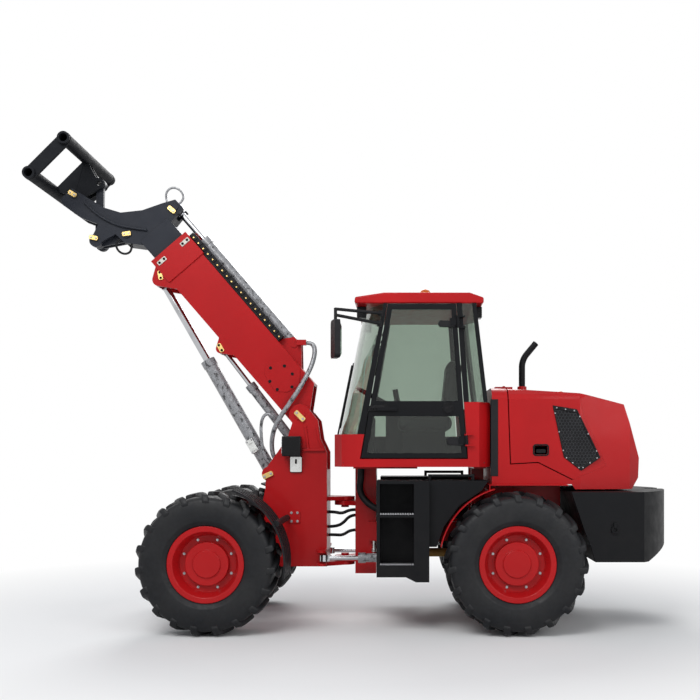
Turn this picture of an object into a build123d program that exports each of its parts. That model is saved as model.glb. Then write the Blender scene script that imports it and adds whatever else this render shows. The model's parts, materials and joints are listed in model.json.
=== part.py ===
from build123d import *
import os
from math import asin, atan2, cos, degrees, hypot, radians, sin, sqrt, tan

# An articulated compact wheel loader with a telescopic boom, in millimetres.
# +X points forward, +Y to the machine's left and +Z up. The origin lies on the
# ground under the middle of the machine, which is nearly symmetric about Y = 0.

os.makedirs("parts", exist_ok=True)

# Clearances
PIN_FIT = 0.3           # radial, pin in eye and rod in gland
SEAT_GAP = 0.3          # between pieces of one body whose curved faces meet
SIDE_PLAY = 6.0         # beside an eye between its lugs
SWING_GAP = 8.0         # between a moving panel and its surround

# Wheels and axles
TYRE_R = 535.0          # to the lug tips, so also the axle's height
TYRE_W = 410.0
LUGS = 12               # on each half of the tread
LUG_H = 34.0
LUG_W = 56.0            # round the tread
LUG_RUN = 92.0          # lead of a lug's outer end over its inner end
BAND_T = 24.0           # of the tread band under the lugs
BAND_STEP = 6.0         # of that band in from the tyre's side
SEAT_R = 254.0          # bead seat of the rim
RIM_W = 330.0           # between the flanges
FLANGE_R = 285.0
FLANGE_T = 15.0
RIM_WALL = 16.0
DISC_AT = 55.0          # inner face of the disc from the wheel's middle
DISC_T = 25.0
DISH_R = 214.0          # inner edge of the visible ring
HUB_R = 162.0
HUB_T = 42.0
CAP_R = 103.0
CAP_T = 12.0
TRACK_HALF = 725.0      # wheel's middle from the machine's middle
FRONT_AXLE_X = 1055.0
REAR_AXLE_X = -1245.0
AXLE_TUBE_R = 78.0
AXLE_FLANGE_R = 150.0
DIFF_R = 165.0
AXLE_PAD = 34.0         # between axle tube and frame rail

# Articulation, boom and cylinders: places as (x, z) in the middle plane
STEER_X = 80.0
BOOM_PIN = (434.0, 1663.0)
BOOM_ANGLE = 49.2       # above the horizon, as parked
BOOM_HALF = 150.0
BOOM_TOP = 255.0        # above the line through the pin
BOOM_BOTTOM = -90.0
BOOM_SIDE_T = 20.0
BOOM_PLATE_T = 14.0
BOOM_NOSE = 1735.0      # along the boom from the pin
TELE_LINE = 335.0       # telescope cylinder's axis above the same line
INNER_GAP = 12.0        # all round the inner boom, filled by wear pads at the nose
INNER_TAIL = 320.0
INNER_END = 1930.0
LIFT_BASE = (683.0, 1188.0)
LIFT_LUG = (1586.0, -152.0)      # along and above the boom's line
LEVEL_BASE = (505.0, 1445.0)
LEVEL_LUG = (833.0, -138.0)
COUPLER_PIN = (2579.0, -227.0)
ROCKER_PIN = (2050.0, -113.0)
LINK_PIN = (2178.0, -336.0)      # rocker's free end
TELE_ROD_OUT = 30.0     # telescope rod's pin past the inner boom's box
TELE_ROD_PIN = INNER_END + TELE_ROD_OUT
TELE_BASE_PIN = 480.0

# Front frame and tower
TOWER_IN = 165.0        # inner face of each tower plate from the middle
TOWER_T = 30.0
TOWER_REAR = 215.0
FRONT_RAIL_Z = TYRE_R + AXLE_TUBE_R + AXLE_PAD
EAR_T = 32.0
EAR_R = 80.0
UPPER_EAR_Z = 968.0
LOWER_EAR_Z = 440.0
STEER_PIN_R = 32.0
TONGUE_T = 36.0
TONGUE_GAP = 3.0

# Rear frame
RAIL_IN = 150.0
RAIL_T = 40.0
RAIL_Z = FRONT_RAIL_Z
RAIL_H = 153.0
RAIL_LAP = 60.0         # of the rails beside the post
POST_FRONT = -12.0
POST_REAR = -181.0
POST_HALF = 150.0
POST_BOTTOM = 379.0
POST_TOP = 1235.0

# Cab
CAB_HALF = 660.0
CAB_FLOOR = 1251.0
SILL_H = 61.0
CAB_WALL = 40.0
CAB_REAR = -1068.0
NOSE_FRONT = 130.0
NOSE_TOP = 1500.0
RAKE = 205.0 / 1011.0   # run per rise of the windshield and front pillars
ROOF_Z = 2497.0
ROOF_RISE = 84.0
ROOF_PEAK = ROOF_Z + ROOF_RISE
GLASS_T = 6.0
BELT_Z = 1745.0         # top of the rear corner panels

# Hood and counterweight
HOOD_HALF = 620.0
HOOD_WALL = 12.0
HOOD_FRONT = -1079.0
HOOD_BOTTOM = 1118.0
HOOD_SEAM = 1265.0
HOOD_TOP = 1861.0
HOOD_ROUND = (130.0, 91.0)       # width and depth of the rounded top edges
CREASE_Z = HOOD_TOP - HOOD_ROUND[1]
HOOD_PIVOT = (-1197.0, HOOD_TOP + 11.0)
WEIGHT_TOP = 1065.0
WEIGHT_BOTTOM = 540.0
WEIGHT_HALF = 775.0
WEIGHT_TAIL = -2521.0

# Side boxes with steps
STEP_OUT = 800.0
STEP_IN = 425.0
STEP_FRONT = -202.0
STEP_TOP = 1149.0
STEP_BOTTOM = 430.0

UP = (cos(radians(BOOM_ANGLE)), sin(radians(BOOM_ANGLE)))
BOOM = Plane(origin=(BOOM_PIN[0], 0, BOOM_PIN[1]), x_dir=(UP[0], 0, UP[1]), z_dir=(0, -1, 0))


def on_boom(along, above):
    """Place (x, z) of a point given along and above the boom's line."""
    x = BOOM_PIN[0] + along * UP[0] - above * UP[1]
    z = BOOM_PIN[1] + along * UP[1] + above * UP[0]
    return (x, z)


def side_plate(outline, y_low, y_high, plane=Plane.XZ, mode=Mode.ADD):
    """Extrude a closed side-view outline between two lateral positions."""
    with BuildSketch(plane.offset(-y_high)) as face:
        with BuildLine():
            Polyline(*outline, close=True)
        make_face()
    extrude(face.sketch, amount=y_high - y_low, mode=mode)


def side_disc(center, radius, y_low, y_high, plane=Plane.XZ, mode=Mode.ADD):
    """Extrude a circle of the side view between two lateral positions."""
    with BuildSketch(plane.offset(-y_high)) as face:
        with Locations(center):
            Circle(radius)
    extrude(face.sketch, amount=y_high - y_low, mode=mode)


def plan_slab(outline, z_low, z_high, mode=Mode.ADD):
    """Extrude a closed plan-view outline between two heights."""
    with BuildSketch(Plane.XY.offset(z_low)) as face:
        with BuildLine():
            Polyline(*outline, close=True)
        make_face()
    extrude(face.sketch, amount=z_high - z_low, mode=mode)


def block(low, high, mode=Mode.ADD):
    """Add a box between two opposite corners."""
    size = [b - a for a, b in zip(low, high)]
    middle = tuple((a + b) / 2 for a, b in zip(low, high))
    with Locations(middle):
        Box(*size, mode=mode)


def rod_between(start, end, radius, mode=Mode.ADD):
    """Add a round bar from one point to another."""
    run = Vector(*end) - Vector(*start)
    with BuildSketch(Plane(origin=start, z_dir=run)) as face:
        Circle(radius)
    extrude(face.sketch, amount=run.length, mode=mode)


def finish_piece(builder, name):
    """Label a finished piece and write it to its own file."""
    builder.part.label = name
    export_step(builder.part, f"parts/{name}.step")


# Wheels: one tyre and one rim on each axle end
WHEELS = [
    # name, axle x, side of the machine
    ("front_left", FRONT_AXLE_X, 1),
    ("front_right", FRONT_AXLE_X, -1),
    ("rear_left", REAR_AXLE_X, 1),
    ("rear_right", REAR_AXLE_X, -1),
]
BEAD_HALF = RIM_W / 2 - SEAT_GAP
TYRE_HALF = TYRE_W / 2
SIDEWALL_R = (FLANGE_R + TYRE_R) / 2
FLANGE_Y = RIM_W / 2 + FLANGE_T
BARREL_R = SEAT_R - RIM_WALL
DISC_FACE = DISC_AT + DISC_T
HUB_FACE = DISC_FACE + HUB_T


def tyre_section():
    """Half-plane section of a tyre's carcass, across the tread and out from the axle."""
    right = [
        (BEAD_HALF, SEAT_R + SEAT_GAP),
        (BEAD_HALF, FLANGE_R + 8),
        (TYRE_HALF, SIDEWALL_R),
        (TYRE_HALF, TYRE_R - LUG_H - BAND_T),
    ]
    return right + [(-y, r) for y, r in reversed(right)]


def rim_section():
    """Section of a one-piece rim with its dished disc and hub cover."""
    return [
        (-FLANGE_Y, FLANGE_R),
        (-RIM_W / 2, FLANGE_R),
        (-RIM_W / 2, SEAT_R),
        (RIM_W / 2, SEAT_R),
        (RIM_W / 2, FLANGE_R),
        (FLANGE_Y, FLANGE_R),
        (FLANGE_Y, BARREL_R + 6),
        (DISC_FACE + 26, DISH_R),
        (DISC_FACE, DISH_R),
        (DISC_FACE, HUB_R),
        (HUB_FACE, HUB_R),
        (HUB_FACE, CAP_R),
        (HUB_FACE + CAP_T, CAP_R),
        (HUB_FACE + CAP_T, 0),
        (DISC_AT, 0),
        (DISC_AT, BARREL_R),
        (-FLANGE_Y, BARREL_R),
    ]


LUG_BITE = 10.0         # of a lug into the carcass
LUG_LAP = 8.0           # of a lug over the tread's middle
LUG_REACH = (LUG_RUN + LUG_W) / 2
LUG_TOP = sqrt(TYRE_R ** 2 - LUG_REACH ** 2)
LUG_ROOT = TYRE_R - LUG_H - LUG_BITE
LUG_PHASE = 270.0 + degrees(atan2(LUG_REACH, LUG_TOP))
with BuildPart() as tyre_form:
    with BuildSketch(Plane(origin=(0, 0, 0), x_dir=(0, 1, 0), z_dir=(1, 0, 0))):
        with BuildLine():
            Polyline(*tyre_section(), close=True)
        make_face()
    revolve(axis=Axis.Y)
    with BuildSketch(Plane.XZ.offset(BAND_STEP - TYRE_HALF)) as band:
        RegularPolygon(TYRE_R - LUG_H, 2 * LUGS)
        Circle(TYRE_R - LUG_H - 2 * BAND_T, mode=Mode.SUBTRACT)
    extrude(band.sketch, amount=2 * (TYRE_HALF - BAND_STEP))
    for lug in range(2 * LUGS):
        half = 1 if lug % 2 == 0 else -1
        turn = radians(LUG_PHASE + 180.0 / LUGS * lug)
        away = Vector(cos(turn), 0, sin(turn))
        with BuildSketch(Plane(origin=away * LUG_ROOT, x_dir=(0, 1, 0), z_dir=away)) as foot:
            with BuildLine():
                Polyline(
                    (-half * LUG_LAP, -LUG_REACH),
                    (-half * LUG_LAP, -LUG_REACH + LUG_W),
                    (half * (TYRE_HALF - BAND_STEP), LUG_REACH),
                    (half * (TYRE_HALF - BAND_STEP), LUG_REACH - LUG_W),
                    close=True,
                )
            make_face()
        extrude(foot.sketch, amount=LUG_TOP - LUG_ROOT)

for name, axle_x, side in WHEELS:
    across = Plane(origin=(axle_x, side * TRACK_HALF, TYRE_R), x_dir=(0, side, 0), z_dir=(side, 0, 0))
    spin = Axis((axle_x, 0, TYRE_R), (0, 1, 0))
    with BuildPart() as tyre:
        add(tyre_form.part.moved(Location((axle_x, side * TRACK_HALF, TYRE_R))))
    finish_piece(tyre, f"tyre_{name}")
    with BuildPart() as rim:
        with BuildSketch(across):
            with BuildLine():
                Polyline(*rim_section(), close=True)
            make_face()
        revolve(axis=spin)
    finish_piece(rim, f"rim_{name}")

# Axles: a differential housing with arms out to the hubs, and pads up to the rails
AXLES = [
    # name, axle x, way the pinion nose points, inner and outer face of its rail
    ("front_axle", FRONT_AXLE_X, -1, TOWER_IN, TOWER_IN + TOWER_T),
    ("rear_axle", REAR_AXLE_X, 1, RAIL_IN, RAIL_IN + RAIL_T),
]
HUB_AT = TRACK_HALF + DISC_AT - SEAT_GAP
PINION_L = 260.0
PINION_R = 72.0
for name, axle_x, nose, rail_in, rail_out in AXLES:
    half = [
        (HUB_AT, 0),
        (HUB_AT, AXLE_FLANGE_R),
        (HUB_AT - 45, AXLE_FLANGE_R),
        (HUB_AT - 110, AXLE_TUBE_R + 24),
        (HUB_AT - 215, AXLE_TUBE_R),
        (DIFF_R - 22, AXLE_TUBE_R),
        (DIFF_R - 75, DIFF_R),
    ]
    with BuildPart() as axle:
        with BuildSketch(Plane(origin=(axle_x, 0, TYRE_R), x_dir=(0, 1, 0), z_dir=(1, 0, 0))):
            with BuildLine():
                Polyline(*half, *[(-y, r) for y, r in reversed(half)], close=True)
            make_face()
        revolve(axis=Axis((axle_x, 0, TYRE_R), (0, 1, 0)))
        rod_between((axle_x, 0, TYRE_R), (axle_x + nose * PINION_L, 0, TYRE_R), PINION_R)
        for side in (-1, 1):
            pad = sorted((side * rail_in, side * rail_out))
            block((axle_x - 70, pad[0], TYRE_R), (axle_x + 70, pad[1], RAIL_Z))
    finish_piece(axle, name)

# Hose ends that other pieces carry
BUNDLE_FROM = (392.0, 96.0, 2258.0)
BUNDLE_TO = (612.0, 105.0, 1306.0)
LOOP_FROM = (640.0, 58.0, 1622.0)
LOOP_TO = (612.0, 100.0, 1258.0)
PORT_R = 17.0

# Hydraulic cylinders: a hollow barrel with an eye at its base, and a rod with an eye at its tip
CYLINDERS = {
    # base and tip pins, pin direction, barrel and rod radii, gland from the base pin,
    # rod's inner end from the base pin, eye radius, pin radius, eye width
    "lift": dict(base=(LIFT_BASE[0], 0, LIFT_BASE[1]), tip=(on_boom(*LIFT_LUG)[0], 0, on_boom(*LIFT_LUG)[1]),
                 pin_dir=(0, -1, 0), body_r=55, rod_r=30, gland=1075, tail=696, eye_r=54, pin_r=28, eye_w=96),
    "level": dict(base=(LEVEL_BASE[0], 0, LEVEL_BASE[1]), tip=(on_boom(*LEVEL_LUG)[0], 0, on_boom(*LEVEL_LUG)[1]),
                  pin_dir=(0, -1, 0), body_r=39, rod_r=19, gland=597, tail=323, eye_r=40, pin_r=20, eye_w=66),
    "tele": dict(base=(on_boom(TELE_BASE_PIN, TELE_LINE)[0], 0, on_boom(TELE_BASE_PIN, TELE_LINE)[1]),
                 tip=(on_boom(TELE_ROD_PIN, TELE_LINE)[0], 0, on_boom(TELE_ROD_PIN, TELE_LINE)[1]),
                 pin_dir=(0, -1, 0), body_r=46, rod_r=26, gland=1150, tail=80, eye_r=50, pin_r=26, eye_w=76),
    "steer_left": dict(base=(-450, 260, 520), tip=(230, 300, 520), pin_dir=(0, 0, 1), body_r=36, rod_r=18,
                       gland=410, tail=221, eye_r=38, pin_r=19, eye_w=50),
    "steer_right": dict(base=(-450, -260, 520), tip=(230, -300, 520), pin_dir=(0, 0, 1), body_r=36, rod_r=18,
                        gland=410, tail=221, eye_r=38, pin_r=19, eye_w=50),
}
TUBE_WALL = 9.0
GLAND_L = 60.0
GLAND_LIP = 6.0
CAP_WALL = 12.0


def cylinder_plane(base, tip, pin_dir):
    """Plane through a cylinder's pins: along the cylinder, with the pin as its normal."""
    return Plane(origin=base, x_dir=Vector(*tip) - Vector(*base), z_dir=pin_dir)


def eye(plane, at, radius, pin_r, width, neck_to, neck_r):
    """Add a bored eye at a distance along a cylinder, joined by a neck to the rest."""
    with BuildSketch(plane.offset(-width / 2)) as ring:
        with Locations((at, 0)):
            Circle(radius)
        with Locations(((at + neck_to) / 2, 0)):
            Rectangle(abs(neck_to - at), 2 * neck_r)
        with Locations((at, 0)):
            Circle(pin_r + PIN_FIT, mode=Mode.SUBTRACT)
    extrude(ring.sketch, amount=width)


for name, c in CYLINDERS.items():
    plane = cylinder_plane(c["base"], c["tip"], c["pin_dir"])
    length = (Vector(*c["tip"]) - Vector(*c["base"])).length
    start = 0.8 * c["eye_r"]
    gland_r = c["body_r"] + GLAND_LIP
    slip_r = c["rod_r"] + PIN_FIT
    bore_r = c["body_r"] - TUBE_WALL
    axis = Axis(c["base"], tuple(plane.x_dir))
    with BuildPart() as barrel:
        with BuildSketch(plane) as tube:
            with BuildLine():
                Polyline(
                    (start, 0),
                    (start, c["body_r"]),
                    (c["gland"] - GLAND_L, c["body_r"]),
                    (c["gland"] - GLAND_L, gland_r),
                    (c["gland"], gland_r),
                    (c["gland"], slip_r),
                    (c["gland"] - GLAND_L, slip_r),
                    (c["gland"] - GLAND_L, bore_r),
                    (start + CAP_WALL, bore_r),
                    (start + CAP_WALL, 0),
                    close=True,
                )
            make_face()
        revolve(axis=axis)
        eye(plane, 0, c["eye_r"], c["pin_r"], c["eye_w"], start + CAP_WALL / 2, 0.7 * c["body_r"])
        if name == "level":
            rod_between((LOOP_FROM[0], c["body_r"] - TUBE_WALL / 2, LOOP_FROM[2]), LOOP_FROM, PORT_R)
    finish_piece(barrel, name.replace("steer_", "steer_barrel_") if "steer" in name else f"{name}_barrel")
    with BuildPart() as rod:
        with BuildSketch(plane):
            with BuildLine():
                Polyline((c["tail"], 0), (c["tail"], c["rod_r"]), (length - c["pin_r"] - 8, c["rod_r"]),
                         (length - c["pin_r"] - 8, 0), close=True)
            make_face()
        revolve(axis=axis)
        eye(plane, length, c["eye_r"], c["pin_r"], c["eye_w"], length - c["eye_r"] - 6, c["rod_r"])
    finish_piece(rod, name.replace("steer_", "steer_rod_") if "steer" in name else f"{name}_rod")

# Outer boom: a welded box with a boss tube at the pin, lugs below and a collar at the nose
COLLAR_L = 225.0
COLLAR_T = 12.0
BOSS_R = 75.0
BOOM_PIN_R = 40.0
LOBE_R = 58.0
WEB_AT = 140.0          # rear diaphragm, along the boom
BOX_IN = BOOM_HALF - BOOM_SIDE_T
BOX_TOP = BOOM_TOP - BOOM_PLATE_T
BOX_BOTTOM = BOOM_BOTTOM + BOOM_PLATE_T
BOOM_LUGS = [
    # cylinder, pin along the boom, pin above its line
    ("lift", *LIFT_LUG),
    ("level", *LEVEL_LUG),
]
with BuildPart() as outer_boom:
    body = [
        (0, BOOM_BOTTOM),
        (BOOM_NOSE, BOOM_BOTTOM),
        (BOOM_NOSE, BOOM_TOP),
        (WEB_AT - 16, BOOM_TOP),
        (-20, 86),
    ]
    side_plate(body, -BOOM_HALF, BOOM_HALF, BOOM)
    side_disc((0, 0), -BOOM_BOTTOM, -BOOM_HALF, BOOM_HALF, BOOM)
    for cylinder, along, above in BOOM_LUGS:
        lobe_r = CYLINDERS[cylinder]["eye_r"] - 2
        lug = [
            (along - 3 * lobe_r, BOOM_BOTTOM + 1),
            (along - 0.8 * lobe_r, above - 0.6 * lobe_r),
            (along + 0.8 * lobe_r, above - 0.6 * lobe_r),
            (along + 2 * lobe_r, BOOM_BOTTOM + 1),
        ]
        for low, high in ((-BOOM_HALF, -BOX_IN), (BOX_IN, BOOM_HALF)):
            side_plate(lug, low, high, BOOM)
            side_disc((along, above), lobe_r, low, high, BOOM)
    collar = [
        (BOOM_NOSE - COLLAR_L, BOOM_BOTTOM - COLLAR_T),
        (BOOM_NOSE, BOOM_BOTTOM - COLLAR_T),
        (BOOM_NOSE, BOOM_TOP + COLLAR_T),
        (BOOM_NOSE - COLLAR_L, BOOM_TOP + COLLAR_T),
    ]
    side_plate(collar, -BOOM_HALF - COLLAR_T, BOOM_HALF + COLLAR_T, BOOM)
    eye_bay = [
        (BOOM_NOSE - COLLAR_L, BOOM_BOTTOM),
        (LIFT_LUG[0] + 80, BOOM_BOTTOM),
        (LIFT_LUG[0] + 80, BOOM_BOTTOM - 40),
        (BOOM_NOSE - COLLAR_L, BOOM_BOTTOM - 40),
    ]
    side_plate(eye_bay, -BOX_IN, BOX_IN, BOOM, mode=Mode.SUBTRACT)
    inside = [
        (WEB_AT + BOOM_PLATE_T, BOX_BOTTOM),
        (BOOM_NOSE + 1, BOX_BOTTOM),
        (BOOM_NOSE + 1, BOX_TOP),
        (WEB_AT + BOOM_PLATE_T, BOX_TOP),
    ]
    side_plate(inside, -BOX_IN, BOX_IN, BOOM, mode=Mode.SUBTRACT)
    tail = [
        (WEB_AT, BOOM_BOTTOM - 40),
        (WEB_AT, BOX_TOP),
        (-200, BOX_TOP),
        (-200, BOOM_BOTTOM - 40),
    ]
    side_plate(tail, -BOX_IN, BOX_IN, BOOM, mode=Mode.SUBTRACT)
    side_disc((0, 0), BOSS_R, -TOWER_IN + SIDE_PLAY, TOWER_IN - SIDE_PLAY, BOOM)
    side_disc((0, 0), BOOM_PIN_R + PIN_FIT, -TOWER_IN, TOWER_IN, BOOM, mode=Mode.SUBTRACT)
    tele = CYLINDERS["tele"]
    gusset = [
        (TELE_BASE_PIN - 190, BOOM_TOP),
        (TELE_BASE_PIN + 120, BOOM_TOP),
        (TELE_BASE_PIN + 48, TELE_LINE + 40),
        (TELE_BASE_PIN - 30, TELE_LINE + 52),
    ]
    ear_in = max(tele["eye_w"] / 2, tele["body_r"]) + SIDE_PLAY
    for low, high in ((-ear_in - 22, -ear_in), (ear_in, ear_in + 22)):
        side_plate(gusset, low, high, BOOM)
    side_disc((TELE_BASE_PIN, TELE_LINE), tele["pin_r"], -ear_in - 30, ear_in + 30, BOOM)
    block((BUNDLE_FROM[0], ear_in + 22, BUNDLE_FROM[2] - 22), (BUNDLE_FROM[0] + 76, BUNDLE_FROM[1] + 24, BUNDLE_FROM[2] + 22))
finish_piece(outer_boom, "outer_boom")

# Inner boom: a box that slides in the outer one and carries the cranked head
HEAD_HALF = 106.0
FORK_IN = 62.0
INNER_HALF = BOX_IN - INNER_GAP
INNER_TOP = BOX_TOP - INNER_GAP
INNER_BOTTOM = BOX_BOTTOM + INNER_GAP
INNER_WALL = 12.0
HEAD_PIN_R = 30.0
HEAD_LOBE_R = 52.0      # over the rocker's free end
HEAD_BACK = BOOM_NOSE + 155.0
with BuildPart() as inner_boom:
    box = [(INNER_TAIL, INNER_BOTTOM), (INNER_END, INNER_BOTTOM), (INNER_END, INNER_TOP), (INNER_TAIL, INNER_TOP)]
    side_plate(box, -INNER_HALF, INNER_HALF, BOOM)
    hollow = [
        (INNER_TAIL - 1, INNER_BOTTOM + INNER_WALL),
        (HEAD_BACK, INNER_BOTTOM + INNER_WALL),
        (HEAD_BACK, INNER_TOP - INNER_WALL),
        (INNER_TAIL - 1, INNER_TOP - INNER_WALL),
    ]
    side_plate(hollow, -INNER_HALF + INNER_WALL, INNER_HALF - INNER_WALL, BOOM, mode=Mode.SUBTRACT)
    pin_a, pin_t = COUPLER_PIN
    pin_r, pin_u = ROCKER_PIN
    head = [
        (HEAD_BACK, INNER_BOTTOM),
        (HEAD_BACK, INNER_TOP),
        (TELE_ROD_PIN - 58, TELE_LINE - 40),
        (TELE_ROD_PIN - 48, TELE_LINE + 44),
        (TELE_ROD_PIN + 46, TELE_LINE + 40),
        (TELE_ROD_PIN + 92, TELE_LINE - 60),
        (pin_r + 66, pin_u + 226),
        (pin_r + 167, pin_u + 80),
        (pin_a - 240, pin_t + 116),
        (pin_a - 40, pin_t + 52),
        (pin_a + 46, pin_t + 22),
        (pin_a + 40, pin_t - 106),
        (pin_a - 10, pin_t - 122),
        (pin_a - 180, pin_t - 80),
        (pin_r + 215, pin_u - 120),
        (LINK_PIN[0] + 0.9 * HEAD_LOBE_R, LINK_PIN[1] + 10),
        (LINK_PIN[0] - 0.5 * HEAD_LOBE_R, LINK_PIN[1] - 0.8 * HEAD_LOBE_R),
        (pin_r + 60, pin_u - 66),
        (pin_r - 40, pin_u - 58),
    ]
    side_plate(head, -HEAD_HALF, HEAD_HALF, BOOM)
    side_disc(LINK_PIN, HEAD_LOBE_R, -HEAD_HALF, HEAD_HALF, BOOM)
    slot = [
        (pin_r - 66, pin_u + 93),
        (pin_r + 165, pin_u + 53),
        (pin_r + 165, TELE_LINE),
        (pin_a + 200, TELE_LINE),
        (pin_a + 200, pin_t - 300),
        (pin_r - 66, pin_u - 300),
    ]
    side_plate(slot, -FORK_IN, FORK_IN, BOOM, mode=Mode.SUBTRACT)
    side_disc((pin_a, pin_t), HEAD_PIN_R, -HEAD_HALF - 10, HEAD_HALF + 10, BOOM)
    side_disc((pin_r, pin_u), HEAD_PIN_R, -HEAD_HALF - 10, HEAD_HALF + 10, BOOM)
    tele_slot = [
        (TELE_ROD_PIN - 120, TELE_LINE - tele["eye_r"] - 8),
        (TELE_ROD_PIN + tele["eye_r"] + 8, TELE_LINE - tele["eye_r"] - 8),
        (TELE_ROD_PIN + tele["eye_r"] + 8, TELE_LINE + 120),
        (TELE_ROD_PIN - 120, TELE_LINE + 120),
    ]
    side_plate(tele_slot, -ear_in, ear_in, BOOM, mode=Mode.SUBTRACT)
    side_disc((TELE_ROD_PIN, TELE_LINE), tele["pin_r"], -HEAD_HALF - 8, HEAD_HALF + 8, BOOM)
finish_piece(inner_boom, "inner_boom")

# Tilt linkage: a rocker in the head, a link from it to the coupler, and the coupler
ROCKER_IN = 28.0
ROCKER_OUT = 50.0
LINK_HALF = 22.0
LINK_R = 44.0
LINK_PIN_R = 22.0
COUPLER_LUG_IN = 32.0
COUPLER_LUG_OUT = 54.0
CROSS_TUBE_R = 48.0
CROSS_BORE_R = 32.0
COUPLER_HALF = 600.0
COUPLER_LOW = (183.0, 43.0)      # lower cross tube from the coupler pin, as (x, z)
COUPLER_HIGH = (-85.0, 311.0)    # upper cross tube
COUPLER_LINK = (-190.0, 106.0)   # link pin
BAR_W = 100.0
BAR_T = 25.0
rocker_at = on_boom(*ROCKER_PIN)
link_at = on_boom(*LINK_PIN)
coupler_at = on_boom(*COUPLER_PIN)
eye_b = (coupler_at[0] + COUPLER_LINK[0], coupler_at[1] + COUPLER_LINK[1])
low_tube = (coupler_at[0] + COUPLER_LOW[0], coupler_at[1] + COUPLER_LOW[1])
high_tube = (coupler_at[0] + COUPLER_HIGH[0], coupler_at[1] + COUPLER_HIGH[1])


def bar_outline(start, end, half):
    """Corners of a straight bar between two side-view points."""
    run = (end[0] - start[0], end[1] - start[1])
    length = hypot(*run)
    off = (-run[1] / length * half, run[0] / length * half)
    return [
        (start[0] + off[0], start[1] + off[1]),
        (end[0] + off[0], end[1] + off[1]),
        (end[0] - off[0], end[1] - off[1]),
        (start[0] - off[0], start[1] - off[1]),
    ]


with BuildPart() as rocker:
    for low, high in ((-ROCKER_OUT, -ROCKER_IN), (ROCKER_IN, ROCKER_OUT)):
        side_plate(bar_outline(rocker_at, link_at, LINK_R), low, high)
        side_disc(link_at, LINK_R, low, high)
    side_disc(rocker_at, LINK_R + 6, -ROCKER_OUT, ROCKER_OUT)
    side_disc(rocker_at, HEAD_PIN_R + PIN_FIT, -ROCKER_OUT, ROCKER_OUT, mode=Mode.SUBTRACT)
    side_disc(link_at, LINK_PIN_R, -ROCKER_OUT - 6, ROCKER_OUT + 6)
finish_piece(rocker, "rocker")

with BuildPart() as tilt_link:
    side_plate(bar_outline(link_at, eye_b, 0.7 * LINK_R), -LINK_HALF, LINK_HALF)
    side_disc(link_at, LINK_R, -LINK_HALF, LINK_HALF)
    side_disc(eye_b, LINK_R, -LINK_HALF, LINK_HALF)
    side_disc(link_at, LINK_PIN_R + PIN_FIT, -LINK_HALF, LINK_HALF, mode=Mode.SUBTRACT)
    side_disc(eye_b, LINK_PIN_R + PIN_FIT, -LINK_HALF, LINK_HALF, mode=Mode.SUBTRACT)
finish_piece(tilt_link, "tilt_link")

with BuildPart() as coupler_frame:
    for low, high in ((-COUPLER_LUG_OUT, -COUPLER_LUG_IN), (COUPLER_LUG_IN, COUPLER_LUG_OUT)):
        side_plate([coupler_at, low_tube, high_tube, eye_b], low, high)
        side_plate(bar_outline(coupler_at, eye_b, LINK_R), low, high)
        side_disc(coupler_at, LINK_R + 6, low, high)
        side_disc(eye_b, LINK_R, low, high)
        side_disc(coupler_at, HEAD_PIN_R + PIN_FIT, low, high, mode=Mode.SUBTRACT)
        side_disc(eye_b, LINK_PIN_R, low, high, mode=Mode.SUBTRACT)
    for tube in (low_tube, high_tube):
        side_disc(tube, CROSS_TUBE_R, -COUPLER_HALF, COUPLER_HALF)
    for low, high in ((-COUPLER_HALF + 30, -COUPLER_HALF + 30 + BAR_T), (COUPLER_HALF - 30 - BAR_T, COUPLER_HALF - 30)):
        side_plate(bar_outline(low_tube, high_tube, BAR_W / 2), low, high)
        for tube in (low_tube, high_tube):
            side_disc(tube, BAR_W / 2, low, high)
    for tube in (low_tube, high_tube):
        side_disc(tube, CROSS_BORE_R, -COUPLER_HALF, COUPLER_HALF, mode=Mode.SUBTRACT)
finish_piece(coupler_frame, "coupler_frame")

# Front frame: tower plates either side of the boom, a box under them and the steering ears
PIN_HEAD = 10.0
PLATE_T = 25.0
FRONT_END = FRONT_AXLE_X + 185.0
TOWER_PINS = [
    # pin, radius, boss radius, half width of the eye between the bosses
    (BOOM_PIN, BOOM_PIN_R, 88.0, None),
    (LIFT_BASE, CYLINDERS["lift"]["pin_r"], 58.0, max(CYLINDERS["lift"]["eye_w"] / 2, CYLINDERS["lift"]["body_r"])),
    (LEVEL_BASE, CYLINDERS["level"]["pin_r"], 46.0, max(CYLINDERS["level"]["eye_w"] / 2, CYLINDERS["level"]["body_r"])),
]
STEER_TIP = CYLINDERS["steer_left"]["tip"]
STEER_BASE = CYLINDERS["steer_left"]["base"]
STEER_EYE = max(CYLINDERS["steer_left"]["eye_w"] / 2, CYLINDERS["steer_left"]["body_r"])
LUG_T = 20.0
TOWER_OUT = TOWER_IN + TOWER_T
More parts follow.
